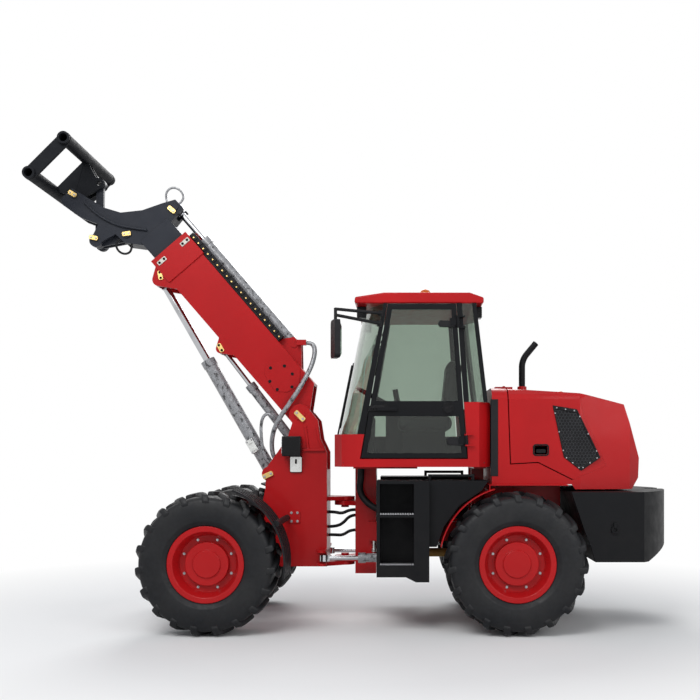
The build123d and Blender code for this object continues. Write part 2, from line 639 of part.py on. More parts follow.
with BuildPart() as front_frame:
    tower = [
        (TOWER_REAR, LOWER_EAR_Z),
        (TOWER_REAR, BOOM_PIN[1] - 299),
        (TOWER_REAR + 50, BOOM_PIN[1] - 193),
        (TOWER_REAR + 74, BOOM_PIN[1] - 40),
        (BOOM_PIN[0] - 88, BOOM_PIN[1] + 30),
        (BOOM_PIN[0] + 60, BOOM_PIN[1] - 60),
        (LEVEL_BASE[0] + 30, LEVEL_BASE[1] + 30),
        (LIFT_BASE[0] + 20, LIFT_BASE[1] + 50),
        (LIFT_BASE[0] + 30, LIFT_BASE[1] - 120),
        (FRONT_AXLE_X - 290, RAIL_Z + 150),
        (FRONT_END, RAIL_Z + 143),
        (FRONT_END, RAIL_Z),
        (FRONT_AXLE_X - 290, RAIL_Z),
        (FRONT_AXLE_X - 430, LOWER_EAR_Z),
    ]
    for low, high in ((-TOWER_OUT, -TOWER_IN), (TOWER_IN, TOWER_OUT)):
        side_plate(tower, low, high)
    for pin, pin_radius, boss_r, eye_half in TOWER_PINS:
        for side in (-1, 1):
            inner = TOWER_IN if eye_half is None else eye_half + SIDE_PLAY
            side_disc(pin, boss_r, *sorted((side * inner, side * TOWER_OUT)))
        side_disc(pin, pin_radius, -TOWER_OUT - PIN_HEAD, TOWER_OUT + PIN_HEAD)
    block((TOWER_REAR, -TOWER_IN, LOWER_EAR_Z), (TOWER_REAR + PLATE_T, TOWER_IN, CAB_FLOOR - 30))
    block((TOWER_REAR, -TOWER_IN, LOWER_EAR_Z), (FRONT_AXLE_X - 430, TOWER_IN, LOWER_EAR_Z + PLATE_T))
    block((FRONT_AXLE_X - 290, -TOWER_IN, RAIL_Z + 118), (FRONT_END, TOWER_IN, RAIL_Z + 143))
    block((FRONT_END - PLATE_T, -TOWER_IN, RAIL_Z), (FRONT_END, TOWER_IN, RAIL_Z + 143))
    block((BUNDLE_TO[0] - 36, BUNDLE_TO[1] - 26, LOOP_TO[2] - 22), (BUNDLE_TO[0], TOWER_IN, BUNDLE_TO[2] + 26))
    ear = [(STEER_X, -EAR_R), (TOWER_REAR, -TOWER_IN), (TOWER_REAR, TOWER_IN), (STEER_X, EAR_R)]
    for ear_z, pin_z in ((UPPER_EAR_Z, UPPER_EAR_Z - TONGUE_GAP - TONGUE_T - 20), (LOWER_EAR_Z, LOWER_EAR_Z)):
        plan_slab(ear, ear_z, ear_z + EAR_T)
        with Locations((STEER_X, 0, ear_z + EAR_T / 2)):
            Cylinder(EAR_R, EAR_T)
        with Locations((STEER_X, 0, pin_z + (EAR_T + TONGUE_GAP + TONGUE_T + 20) / 2)):
            Cylinder(STEER_PIN_R, EAR_T + TONGUE_GAP + TONGUE_T + 20)
    for side in (-1, 1):
        for lug_z in (STEER_TIP[2] - STEER_EYE - SIDE_PLAY - LUG_T, STEER_TIP[2] + STEER_EYE + SIDE_PLAY):
            lug_y = sorted((side * TOWER_OUT, side * STEER_TIP[1]))
            block((STEER_TIP[0] - 15, lug_y[0], lug_z), (STEER_TIP[0] + 60, lug_y[1], lug_z + LUG_T))
            with Locations((STEER_TIP[0] + 22, side * STEER_TIP[1], lug_z + LUG_T / 2)):
                Cylinder(38, LUG_T)
finish_piece(front_frame, "front_frame")

# Front fenders: ribbed strips over the rear quarter of each front wheel, each on a round arm
FENDER_GAP = 42.0
FENDER_T = 8.0
RIB_H = 6.0
RIB_W = 40.0
RIBS = 5
FENDER_IN = 545.0
FENDER_OUT = 925.0
FENDER_FROM = 110.0
FENDER_TO = 190.0
FENDER_ARM_R = 24.0
FENDER_ARM_AT = 150.0


def strip_over_wheel(axle_x, radius, thickness, from_deg, to_deg, y_low, y_high):
    """Add a curved strip round a wheel between two angles above the ground's direction."""
    with BuildSketch(Plane.XZ.offset(-y_high)) as band:
        with BuildLine():
            inner = CenterArc((axle_x, TYRE_R), radius, from_deg, to_deg - from_deg)
            outer = CenterArc((axle_x, TYRE_R), radius + thickness, from_deg, to_deg - from_deg)
            Line(inner @ 0, outer @ 0)
            Line(inner @ 1, outer @ 1)
        make_face()
    extrude(band.sketch, amount=y_high - y_low)


with BuildPart() as front_fenders:
    arm_r = TYRE_R + FENDER_GAP + FENDER_T + RIB_H + 0.4 * FENDER_ARM_R
    arm_x = FRONT_AXLE_X + arm_r * cos(radians(FENDER_ARM_AT))
    arm_z = TYRE_R + arm_r * sin(radians(FENDER_ARM_AT))
    for side in (-1, 1):
        strip_y = sorted((side * FENDER_IN, side * FENDER_OUT))
        strip_over_wheel(FRONT_AXLE_X, TYRE_R + FENDER_GAP, FENDER_T, FENDER_FROM, FENDER_TO, *strip_y)
        for rib in range(RIBS):
            rib_y = strip_y[0] + rib * (FENDER_OUT - FENDER_IN - RIB_W) / (RIBS - 1)
            strip_over_wheel(FRONT_AXLE_X, TYRE_R + FENDER_GAP + FENDER_T / 2, FENDER_T / 2 + RIB_H, FENDER_FROM, FENDER_TO,
                             rib_y, rib_y + RIB_W)
        side_disc((arm_x, arm_z), FENDER_ARM_R, *sorted((side * TOWER_OUT, side * (FENDER_OUT - 40))))
finish_piece(front_fenders, "front_fenders")

# Work lamps on the tower, each on a bracket from the plate's side
LAMP_LOW = (415.0, 1330.0)
LAMP_HIGH = (565.0, 1490.0)
LAMP_OUT = 318.0
BRACKET_W = 97.0
STALK_W = 40.0
with BuildPart() as front_lamps:
    for side in (-1, 1):
        case_y = sorted((side * (TOWER_OUT + 18), side * LAMP_OUT))
        block((LAMP_LOW[0], case_y[0], LAMP_LOW[1]), (LAMP_HIGH[0], case_y[1], LAMP_HIGH[1]))
        foot_y = sorted((side * TOWER_OUT, side * (TOWER_OUT + 18)))
        for width, low_z, high_z in ((BRACKET_W, LAMP_LOW[1] - 130, LAMP_LOW[1] + 40), (STALK_W, LAMP_LOW[1], LAMP_HIGH[1] - 20)):
            block((LAMP_LOW[0], foot_y[0], low_z), (LAMP_LOW[0] + width, foot_y[1], high_z))
finish_piece(front_lamps, "front_lamps")

# Rear frame: rails, the post with its steering tongues, cab carriers and steering lugs
WEIGHT_FACE = -1740.0   # front of the counterweight between the rails
TONGUE_R = 86.0
CARRIER_X = (-1050.0, -950.0)
with BuildPart() as rear_frame:
    for side in (-1, 1):
        rail_y = sorted((side * RAIL_IN, side * (RAIL_IN + RAIL_T)))
        block((WEIGHT_FACE, rail_y[0], RAIL_Z), (POST_REAR + RAIL_LAP, rail_y[1], RAIL_Z + RAIL_H))
        block((CARRIER_X[0], rail_y[0], RAIL_Z + RAIL_H), (CARRIER_X[1], rail_y[1], CAB_FLOOR))
        for lug_z in (STEER_BASE[2] - STEER_EYE - SIDE_PLAY - LUG_T, STEER_BASE[2] + STEER_EYE + SIDE_PLAY):
            lug_y = sorted((side * RAIL_IN, side * STEER_BASE[1]))
            block((STEER_BASE[0] - 45, lug_y[0], lug_z), (STEER_BASE[0] + 20, lug_y[1], lug_z + LUG_T))
            with Locations((STEER_BASE[0], side * STEER_BASE[1], lug_z + LUG_T / 2)):
                Cylinder(36, LUG_T)
        web_y = sorted((side * RAIL_IN, side * (RAIL_IN + 30)))
        low_z = STEER_BASE[2] - STEER_EYE - SIDE_PLAY - LUG_T
        block((STEER_BASE[0] - 75, web_y[0], low_z), (STEER_BASE[0] - 45, web_y[1], RAIL_Z))
        block((STEER_BASE[0] - 75, *sorted((side * RAIL_IN, side * (STEER_BASE[1] - 10)))[:1], low_z),
              (STEER_BASE[0] - 40, *sorted((side * RAIL_IN, side * (STEER_BASE[1] - 10)))[1:], low_z + LUG_T))
        high_z = STEER_BASE[2] + STEER_EYE + SIDE_PLAY
        block((STEER_BASE[0] - 75, *sorted((side * RAIL_IN, side * (STEER_BASE[1] - 10)))[:1], high_z),
              (STEER_BASE[0] - 40, *sorted((side * RAIL_IN, side * (STEER_BASE[1] - 10)))[1:], high_z + LUG_T))
        with Locations((STEER_BASE[0], side * STEER_BASE[1], STEER_BASE[2])):
            Cylinder(CYLINDERS["steer_left"]["pin_r"], 2 * (STEER_EYE + SIDE_PLAY + LUG_T) + PIN_HEAD)
    block((POST_REAR, -POST_HALF, POST_BOTTOM), (POST_FRONT, POST_HALF, POST_TOP))
    block((POST_REAR - 200, -RAIL_IN - RAIL_T, RAIL_Z), (POST_REAR, RAIL_IN + RAIL_T, RAIL_Z + PLATE_T))
    block((POST_REAR - 330, -480, POST_TOP), (POST_FRONT, 480, CAB_FLOOR))
    block((CARRIER_X[0], -480, CAB_FLOOR - 16), (CARRIER_X[1], 480, CAB_FLOOR))
    for tongue_z in (UPPER_EAR_Z - TONGUE_GAP - TONGUE_T, LOWER_EAR_Z + EAR_T + TONGUE_GAP):
        tongue = [(POST_FRONT - 1, -POST_HALF), (STEER_X, -TONGUE_R), (STEER_X, TONGUE_R), (POST_FRONT - 1, POST_HALF)]
        plan_slab(tongue, tongue_z, tongue_z + TONGUE_T)
        with Locations((STEER_X, 0, tongue_z + TONGUE_T / 2)):
            Cylinder(TONGUE_R, TONGUE_T)
            Cylinder(STEER_PIN_R + PIN_FIT, TONGUE_T, mode=Mode.SUBTRACT)
finish_piece(rear_frame, "rear_frame")

with BuildPart() as prop_shaft:
    shaft_from = REAR_AXLE_X + PINION_L
    rod_between((shaft_from, 0, TYRE_R), (POST_REAR, 0, TYRE_R), 36)
    for at in (shaft_from, POST_REAR - 90):
        rod_between((at, 0, TYRE_R), (at + 90, 0, TYRE_R), 58)
finish_piece(prop_shaft, "prop_shaft")

ENGINE_X = (-1645.0, -1195.0)
ENGINE_HALF = 280.0
ENGINE_TOP = 1520.0
with BuildPart() as engine:
    block((ENGINE_X[0], -ENGINE_HALF, RAIL_Z + RAIL_H), (ENGINE_X[1], ENGINE_HALF, ENGINE_TOP))
finish_piece(engine, "engine")

# Cab shell: a tub with a recessed nose, pillars, roof and fixed glass
NOSE_CORNER = 520.0
RECESS_HALF = 330.0
RECESS_X = 55.0
FLOOR_T = 30.0
DOOR_FRONT_X = -80.0
DOOR_REAR_X = -886.0
DOOR_FRONT_RUN = -205.0 / 1178.0     # run per rise of the door's front edge
DOOR_REAR_RUN = 84.0 / 1178.0        # and of its rear edge
SILL_Z = CAB_FLOOR + SILL_H
SHIELD_X = 125.0        # windshield's middle at its foot
SHIELD_BULGE = 175.0
NOSE_FACE = SHIELD_X + 6   # front of the ledge in the middle
PILLAR_T = 46.0
DASH_X = -60.0          # rear edge of the ledge under the windshield
PILLAR_IN = CAB_HALF - PILLAR_T
SHIELD_HALF = PILLAR_IN - SEAT_GAP
PILLAR_W = 62.0
DOOR_POST_W = 38.0      # pillar behind the door
CORNER_W = 30.0         # pillar at the rear corner
CORNER_LOW = CAB_REAR + 24.0     # its rear edge at the belt
CORNER_HIGH = CAB_REAR + 112.0   # and under the roof


def door_front(z):
    """Front edge of the door opening at a height."""
    return DOOR_FRONT_X + (z - SILL_Z) * DOOR_FRONT_RUN


def door_rear(z):
    """Rear edge of the door opening at a height."""
    return DOOR_REAR_X + (z - SILL_Z) * DOOR_REAR_RUN


def tub_plan(inset):
    """Plan outline of the tub, drawn in by a wall's thickness."""
    half = [
        (CAB_REAR + inset, 560 - inset),
        (CAB_REAR + 90 + 0.4 * inset, CAB_HALF - inset),
        (DASH_X - 0.4 * inset, CAB_HALF - inset),
        (70 - 0.7 * inset, CAB_HALF - 50 - 0.7 * inset),
        (NOSE_FRONT - inset, NOSE_CORNER - 0.5 * inset),
        (NOSE_FRONT - inset, RECESS_HALF + 18 + 0.5 * inset),
        (RECESS_X - inset, RECESS_HALF - 18 + 0.5 * inset),
    ]
    return half + [(x, -y) for x, y in reversed(half)]


def shield_band(offset, thickness, z_low, z_high, mode=Mode.ADD):
    """Add a bowed, raked sheet that follows the windshield, pushed forward by an offset."""
    middle = SHIELD_X + offset - (z_low - NOSE_TOP) * RAKE
    with BuildSketch(Plane.XY.offset(z_low)) as band:
        with BuildLine():
            front = ThreePointArc(
                (middle - SHIELD_BULGE, -SHIELD_HALF), (middle, 0), (middle - SHIELD_BULGE, SHIELD_HALF))
            back = ThreePointArc(
                (middle - SHIELD_BULGE - thickness, -SHIELD_HALF), (middle - thickness, 0),
                (middle - SHIELD_BULGE - thickness, SHIELD_HALF))
            Line(front @ 0, back @ 0)
            Line(front @ 1, back @ 1)
        make_face()
    rise = z_high - z_low
    extrude(band.sketch, amount=rise * sqrt(1 + RAKE * RAKE), dir=(-RAKE, 0, 1), mode=mode)


HINGE_HEIGHTS = (1456.0, 2353.0)
HINGE_Y = CAB_HALF + 24.0
HINGE_PIN_R = 7.0
KNUCKLE_R = 13.0
KNUCKLE_L = 70.0
HINGE_LEAF_T = 10.0
HINGE_RUN = Vector(DOOR_REAR_RUN, 0, 1).normalized()


def hinge_point(z):
    """Point on the door's hinge line at a height."""
    return Vector(door_rear(z) - SWING_GAP / 2, HINGE_Y, z)


def hinge_bracket(z):
    """Add the cab's half of a door hinge: a pin held by a leaf above and below the knuckle."""
    base = hinge_point(z)
    half = KNUCKLE_L / 2 + HINGE_LEAF_T + 1
    rod_between(base - HINGE_RUN * half, base + HINGE_RUN * half, HINGE_PIN_R)
    for low in (-half, half - HINGE_LEAF_T):
        leaf = base + HINGE_RUN * low
        rod_between(leaf, leaf + HINGE_RUN * HINGE_LEAF_T, KNUCKLE_R)
        block((leaf.X - 55, CAB_HALF - 1, leaf.Z), (leaf.X - SWING_GAP / 2, HINGE_Y + 8, leaf.Z + HINGE_LEAF_T))


with BuildPart() as cab_tub:
    plan_slab(tub_plan(0), CAB_FLOOR, BELT_Z)
    plan_slab(tub_plan(CAB_WALL), CAB_FLOOR + FLOOR_T, BELT_Z + 1, mode=Mode.SUBTRACT)
    front_cut = [
        (NOSE_FRONT + 50, NOSE_TOP),
        (door_rear(NOSE_TOP) - SWING_GAP, NOSE_TOP),
        (door_rear(BELT_Z) - SWING_GAP, BELT_Z + 1),
        (NOSE_FRONT + 50, BELT_Z + 1),
    ]
    side_plate(front_cut, -CAB_HALF - 1, CAB_HALF + 1, mode=Mode.SUBTRACT)
    door_cut = [
        (door_front(SILL_Z) + SWING_GAP, SILL_Z),
        (door_rear(SILL_Z) - SWING_GAP, SILL_Z),
        (door_rear(NOSE_TOP + 1) - SWING_GAP, NOSE_TOP + 1),
        (door_front(NOSE_TOP + 1) + SWING_GAP, NOSE_TOP + 1),
    ]
    side_plate(door_cut, CAB_HALF - CAB_WALL - 1, CAB_HALF + 1, mode=Mode.SUBTRACT)
    with BuildSketch(Plane.XY.offset(NOSE_TOP - FLOOR_T)) as ledge:
        with BuildLine():
            bow = ThreePointArc((NOSE_FACE - SHIELD_BULGE, -SHIELD_HALF), (NOSE_FACE, 0),
                                (NOSE_FACE - SHIELD_BULGE, SHIELD_HALF))
            Polyline(bow @ 0, (DASH_X, -SHIELD_HALF), (DASH_X, SHIELD_HALF),
                     bow @ 1)
        make_face()
    extrude(ledge.sketch, amount=FLOOR_T)
    ledge_sides = [(x, y) for x, y in tub_plan(0) if x >= DASH_X]
    plan_slab(ledge_sides, NOSE_TOP - FLOOR_T, NOSE_TOP)
    hinge_bracket(HINGE_HEIGHTS[0])
finish_piece(cab_tub, "cab_tub")

with BuildPart() as cab_pillars:
    for side in (-1, 1):
        pillar_y = sorted((side * PILLAR_IN, side * CAB_HALF))
        rear_gap = SWING_GAP if side > 0 else SEAT_GAP
        front_pillar = [
            (door_front(NOSE_TOP) + rear_gap, NOSE_TOP),
            (door_front(NOSE_TOP) + PILLAR_W, NOSE_TOP),
            (door_front(NOSE_TOP) + PILLAR_W - RAKE * (ROOF_Z - NOSE_TOP), ROOF_Z),
            (door_front(ROOF_Z) + rear_gap, ROOF_Z),
        ]
        side_plate(front_pillar, *pillar_y)
        for back, width in ((0, DOOR_POST_W), (1, CORNER_W)):
            low_x = CORNER_LOW + width if back else door_rear(BELT_Z) - rear_gap
            high_x = CORNER_HIGH + width if back else door_rear(ROOF_Z) - rear_gap
            pillar = [(low_x, BELT_Z), (low_x - width, BELT_Z), (high_x - width, ROOF_Z), (high_x, ROOF_Z)]
            side_plate(pillar, *pillar_y)
    hinge_bracket(HINGE_HEIGHTS[1])
finish_piece(cab_pillars, "cab_pillars")

ROOF_INSET = 10.0       # of the roof's edges from the cab's sides
ROOF_HALF = CAB_HALF - ROOF_INSET
with BuildPart() as cab_roof:
    roof = [
        (-27, ROOF_Z),
        (-34, ROOF_Z + 0.6 * ROOF_RISE),
        (-255, ROOF_PEAK),
        (-908, ROOF_PEAK),
        (-1015, ROOF_Z + 0.55 * ROOF_RISE),
        (-1015, ROOF_Z),
    ]
    side_plate(roof, -ROOF_HALF, ROOF_HALF)
    fillet(cab_roof.edges().filter_by(Axis.Y), radius=0.2 * ROOF_RISE)
finish_piece(cab_roof, "cab_roof")

PANE_Y = CAB_HALF - 20.0
with BuildPart() as cab_glass:
    shield_band(0, GLASS_T, NOSE_TOP, ROOF_Z)
    side_pane = [
        (door_front(NOSE_TOP) - SEAT_GAP, NOSE_TOP),
        (door_front(ROOF_Z) - SEAT_GAP, ROOF_Z),
        (door_rear(ROOF_Z) + SEAT_GAP, ROOF_Z),
        (door_rear(NOSE_TOP) + SEAT_GAP, NOSE_TOP),
    ]
    side_plate(side_pane, -PANE_Y, -PANE_Y + GLASS_T)
    for side in (-1, 1):
        post_gap = (SWING_GAP if side > 0 else SEAT_GAP) + DOOR_POST_W + SEAT_GAP
        quarter = [
            (door_rear(BELT_Z) - post_gap, BELT_Z),
            (CORNER_LOW + CORNER_W + SEAT_GAP, BELT_Z),
            (CORNER_HIGH + CORNER_W + SEAT_GAP, ROOF_Z),
            (door_rear(ROOF_Z) - post_gap, ROOF_Z),
        ]
        side_plate(quarter, *sorted((side * PANE_Y, side * (PANE_Y - GLASS_T))))
    rear_pane = [
        (CORNER_LOW, BELT_Z),
        (CORNER_LOW + GLASS_T, BELT_Z),
        (CORNER_HIGH + GLASS_T, ROOF_Z),
        (CORNER_HIGH, ROOF_Z),
    ]
    side_plate(rear_pane, -PILLAR_IN + SEAT_GAP, PILLAR_IN - SEAT_GAP)
finish_piece(cab_glass, "cab_glass")

# Door on the left, hung on its rear edge
DOOR_IN = CAB_HALF - 32.0
DOOR_OUT = CAB_HALF + 8.0
STILE_W = 38.0
RAIL_LOW = 1638.0
RAIL_HIGH = 1752.0


def door_outline(z_low, z_high, inset):
    """Outline of the door or of a window in it, drawn in from the opening's edges."""
    return [
        (door_front(z_low) - inset, z_low),
        (door_front(z_high) - inset, z_high),
        (door_rear(z_high) + inset, z_high),
        (door_rear(z_low) + inset, z_low),
    ]


DOOR_WINDOWS = [
    # bottom and top of each window
    (SILL_Z + 44, RAIL_LOW),
    (RAIL_HIGH, ROOF_Z - 48),
]
with BuildPart() as door_frame:
    side_plate(door_outline(SILL_Z + SWING_GAP, ROOF_Z - SWING_GAP, 0), DOOR_IN, DOOR_OUT)
    for low, high in DOOR_WINDOWS:
        side_plate(door_outline(low, high, STILE_W), DOOR_IN, DOOR_OUT, mode=Mode.SUBTRACT)
    handle_x = door_front(RAIL_LOW) - STILE_W - 30
    block((handle_x - 150, DOOR_OUT - 1, RAIL_LOW + 40), (handle_x, DOOR_OUT + 26, RAIL_LOW + 70))
    for hinge_z in HINGE_HEIGHTS:
        base = hinge_point(hinge_z)
        low = base - HINGE_RUN * (KNUCKLE_L / 2)
        rod_between(low, base + HINGE_RUN * (KNUCKLE_L / 2), KNUCKLE_R)
        block((base.X, DOOR_OUT - 1, base.Z - 28), (base.X + 60, HINGE_Y, base.Z + 28))
    for hinge_z in HINGE_HEIGHTS:
        base = hinge_point(hinge_z)
        rod_between(base - HINGE_RUN * KNUCKLE_L, base + HINGE_RUN * KNUCKLE_L, HINGE_PIN_R + PIN_FIT, mode=Mode.SUBTRACT)
finish_piece(door_frame, "door_frame")

with BuildPart() as door_glass:
    for low, high in DOOR_WINDOWS:
        pane = door_outline(low + SEAT_GAP, high - SEAT_GAP, STILE_W + SEAT_GAP)
        side_plate(pane, CAB_HALF - 12 - GLASS_T, CAB_HALF - 12)
finish_piece(door_glass, "door_glass")

# Inside the cab
FLOOR_Z = CAB_FLOOR + FLOOR_T
SEAT_X = (-800.0, -330.0)
SEAT_HALF = 250.0
CUSHION_Z = (1530.0, 1640.0)
BACK_TOP = 2130.0
BACK_T = 110.0
with BuildPart() as seat_base:
    block((SEAT_X[0] + 60, -190, FLOOR_Z), (SEAT_X[1] - 60, 190, CUSHION_Z[0]))
finish_piece(seat_base, "seat_base")

with BuildPart() as seat:
    block((SEAT_X[0], -SEAT_HALF, CUSHION_Z[0]), (SEAT_X[1], SEAT_HALF, CUSHION_Z[1]))
    back = [
        (SEAT_X[0], CUSHION_Z[0]),
        (SEAT_X[0] + BACK_T, CUSHION_Z[1] - 10),
        (SEAT_X[0] + BACK_T - 70, BACK_TOP),
        (SEAT_X[0] - 70, BACK_TOP),
    ]
    side_plate(back, -SEAT_HALF + 20, SEAT_HALF - 20)
finish_piece(seat, "seat")

WHEEL_AT = (-190.0, 0.0, 1800.0)
WHEEL_RIM_R = 185.0
WHEEL_TILT = 28.0       # steering column from the vertical
CONSOLE_X = (-720.0, -250.0)
CONSOLE_Y = (-570.0, -330.0)
CONSOLE_Z = 1690.0
with BuildPart() as dashboard:
    column_run = Vector(sin(radians(WHEEL_TILT)), 0, -cos(radians(WHEEL_TILT)))
    pedestal_top = Vector(*WHEEL_AT) + column_run * 150
    pedestal = [
        (DASH_X - 100, FLOOR_Z),
        (DASH_X, FLOOR_Z),
        (DASH_X, NOSE_TOP + 80),
        (pedestal_top.X + 50, pedestal_top.Z),
        (pedestal_top.X - 50, pedestal_top.Z - 30),
    ]
    side_plate(pedestal, -80, 80)
    rod_between(pedestal_top - column_run * -60, Vector(*WHEEL_AT), 22)
    disc = Plane(origin=WHEEL_AT, z_dir=-column_run)
    with BuildSketch(Plane(origin=WHEEL_AT, x_dir=disc.x_dir, z_dir=disc.y_dir)) as rim_ring:
        with Locations((WHEEL_RIM_R, 0)):
            Circle(15)
    revolve(rim_ring.sketch, axis=Axis(WHEEL_AT, tuple(column_run)))
    with BuildSketch(disc) as spokes:
        Circle(48)
        for turn in (90, 210, 330):
            with Locations((WHEEL_RIM_R / 2 * cos(radians(turn)), WHEEL_RIM_R / 2 * sin(radians(turn)))):
                Rectangle(WHEEL_RIM_R, 26, rotation=turn)
    extrude(spokes.sketch, amount=6, both=True)
finish_piece(dashboard, "dashboard")

with BuildPart() as console:
    block((CONSOLE_X[0], CONSOLE_Y[0], FLOOR_Z), (CONSOLE_X[1], CONSOLE_Y[1], CONSOLE_Z))
    stick = (CONSOLE_X[1] - 120, (CONSOLE_Y[0] + CONSOLE_Y[1]) / 2, CONSOLE_Z - 2)
    rod_between(stick, (stick[0] + 25, stick[1], stick[2] + 130), 9)
    rod_between((stick[0] + 22, stick[1], stick[2] + 115), (stick[0] + 40, stick[1], stick[2] + 220), 24)
finish_piece(console, "console")

# Mirrors, wiper and lamps on the cab
MIRROR_X = 100.0
MIRROR_BACK = 250.0     # of the right mirror behind the left one
MIRROR_Y = 856.0
MIRROR_Z = (2061.0, 2343.0)
MIRROR_W = 168.0
MIRROR_T = 42.0
MIRROR_ROUND = 30.0
MIRROR_TURN = 15.0      # of each head towards the driver
MIRROR_TUBE_R = 12.0
with BuildPart() as mirrors:
    for side in (-1, 1):
        head_x = MIRROR_X if side > 0 else MIRROR_X - MIRROR_BACK
        facing = (-cos(radians(MIRROR_TURN)), -side * sin(radians(MIRROR_TURN)), 0)
        middle = (head_x, side * MIRROR_Y, (MIRROR_Z[0] + MIRROR_Z[1]) / 2)
        with BuildSketch(Plane(origin=middle, x_dir=(0, 0, 1), z_dir=facing)) as head_face:
            RectangleRounded(MIRROR_Z[1] - MIRROR_Z[0], MIRROR_W, MIRROR_ROUND)
        extrude(head_face.sketch, amount=MIRROR_T / 2, both=True)
        post = (head_x, side * MIRROR_Y)
        rod_between((*post, MIRROR_Z[1] - 20), (*post, 2432), MIRROR_TUBE_R)
        for foot_z, tip_z in ((2417, 2424), (2340, 2380)):
            foot_x = door_front(foot_z) + 40
            rod_between((foot_x, side * (CAB_HALF + MIRROR_TUBE_R + 2), foot_z), (*post, tip_z), MIRROR_TUBE_R)
            foot_y = sorted((side * CAB_HALF, side * (CAB_HALF + 16)))
            block((foot_x - 18, foot_y[0], foot_z - 22), (foot_x + 18, foot_y[1], foot_z + 22))
finish_piece(mirrors, "mirrors")

WIPER_GAP = 8.0
WIPER_Z = (1560.0, 2080.0)
with BuildPart() as wiper:
    foot_x = SHIELD_X + WIPER_GAP + 8
    rise = WIPER_Z[1] - NOSE_TOP
    arm = [
        (foot_x - 8, NOSE_TOP),
        (foot_x + 6, NOSE_TOP),
        (foot_x + 6 - RAKE * rise, WIPER_Z[1]),
        (foot_x - 8 - RAKE * rise, WIPER_Z[1]),
    ]
    side_plate(arm, -8, 8)
    block((NOSE_FACE + SEAT_GAP, -12, NOSE_TOP - 30), (foot_x + 6, 12, NOSE_TOP))
    low_x = foot_x - RAKE * (WIPER_Z[0] - NOSE_TOP)
    blade = [
        (low_x - WIPER_GAP - 6, WIPER_Z[0]),
        (low_x - 4, WIPER_Z[0]),
        (low_x - 4 - RAKE * (WIPER_Z[1] - WIPER_Z[0] + 20), WIPER_Z[1] + 20),
        (low_x - WIPER_GAP - 6 - RAKE * (WIPER_Z[1] - WIPER_Z[0] + 20), WIPER_Z[1] + 20),
    ]
    side_plate(blade, -8, 2)
finish_piece(wiper, "wiper")

ROOF_LAMPS = [
    # x range, lateral middle
    ((-112, -40), 430),
    ((-112, -40), -430),
    ((-1014, -972), 430),
    ((-1014, -972), -430),
]
BEACON_X = -582.0
BEACON_R = 50.0
BEACON_H = 80.0         # up to its dome
with BuildPart() as roof_lamps:
    for (low_x, high_x), lamp_y in ROOF_LAMPS:
        block((low_x, lamp_y - 55, ROOF_Z - 88), (high_x, lamp_y + 55, ROOF_Z))
    with Locations((BEACON_X, 0, ROOF_PEAK + BEACON_H / 2)):
        Cylinder(BEACON_R, BEACON_H)
    with Locations((BEACON_X, 0, ROOF_PEAK + BEACON_H)):
        Sphere(BEACON_R)
finish_piece(roof_lamps, "roof_lamps")

# Step boxes beside the frame, each with two treads and a grab rail
TREAD_T = 22.0
TREADS = (500.0, 877.0)
STEP_POCKET = (-481.0, -226.0)
STEP_DEPTH = 260.0
ARCH_GAP = 56.0
STEP_KICK = 37.0        # drop of the box's floor behind the treads
STEP_SPLIT = -596.0     # back of the step box
TANK_OUT = 730.0        # outer face of the tank behind it
TANK_BOTTOM = 650.0
GRAB_X = (-929.0, -601.0)
GRAB_R = 12.0
GRAB_H = 48.0
with BuildPart() as step_boxes:
    arch_r = TYRE_R + ARCH_GAP
    arch_from = degrees(asin((TANK_BOTTOM - TYRE_R) / arch_r))
    arch = [(REAR_AXLE_X + arch_r * cos(radians(a)), TYRE_R + arch_r * sin(radians(a))) for a in (arch_from, 27, 46, 66)]
    box = [
        (STEP_FRONT, STEP_TOP),
        (STEP_FRONT, STEP_BOTTOM),
        (STEP_FRONT - 220, STEP_BOTTOM),
        (STEP_FRONT - 294, STEP_BOTTOM - STEP_KICK),
        (STEP_SPLIT, STEP_BOTTOM - STEP_KICK),
        (STEP_SPLIT, STEP_TOP),
    ]
    tank = [
        (STEP_SPLIT + 10, STEP_TOP),
        (STEP_SPLIT + 10, TANK_BOTTOM),
        *[(x + 12, z) for x, z in arch],
        (arch[-1][0] - 36, STEP_TOP),
    ]
    for side in (-1, 1):
        side_plate(box, *sorted((side * STEP_IN, side * STEP_OUT)))
        side_plate(tank, *sorted((side * STEP_IN, side * TANK_OUT)))
        pocket_y = sorted((side * (STEP_OUT - STEP_DEPTH), side * (STEP_OUT + 1)))
        for low, high in ((TREADS[0] + TREAD_T, TREADS[1]), (TREADS[1] + TREAD_T, STEP_TOP - TREAD_T)):
            block((STEP_POCKET[0], pocket_y[0], low), (STEP_POCKET[1], pocket_y[1], high), mode=Mode.SUBTRACT)
        arm_y = sorted((side * (RAIL_IN + RAIL_T), side * STEP_IN))
        for arm_x in (-320, -560):
            block((arm_x - 20, arm_y[0], RAIL_Z + 40), (arm_x + 20, arm_y[1], RAIL_Z + 90))
        rail_y = side * (TANK_OUT - 40)
        for post_x in GRAB_X:
            rod_between((post_x, rail_y, STEP_TOP - 1), (post_x, rail_y, STEP_TOP + GRAB_H), GRAB_R)
        rod_between((GRAB_X[0], rail_y, STEP_TOP + GRAB_H - GRAB_R), (GRAB_X[1], rail_y, STEP_TOP + GRAB_H - GRAB_R), GRAB_R)
finish_piece(step_boxes, "step_boxes")

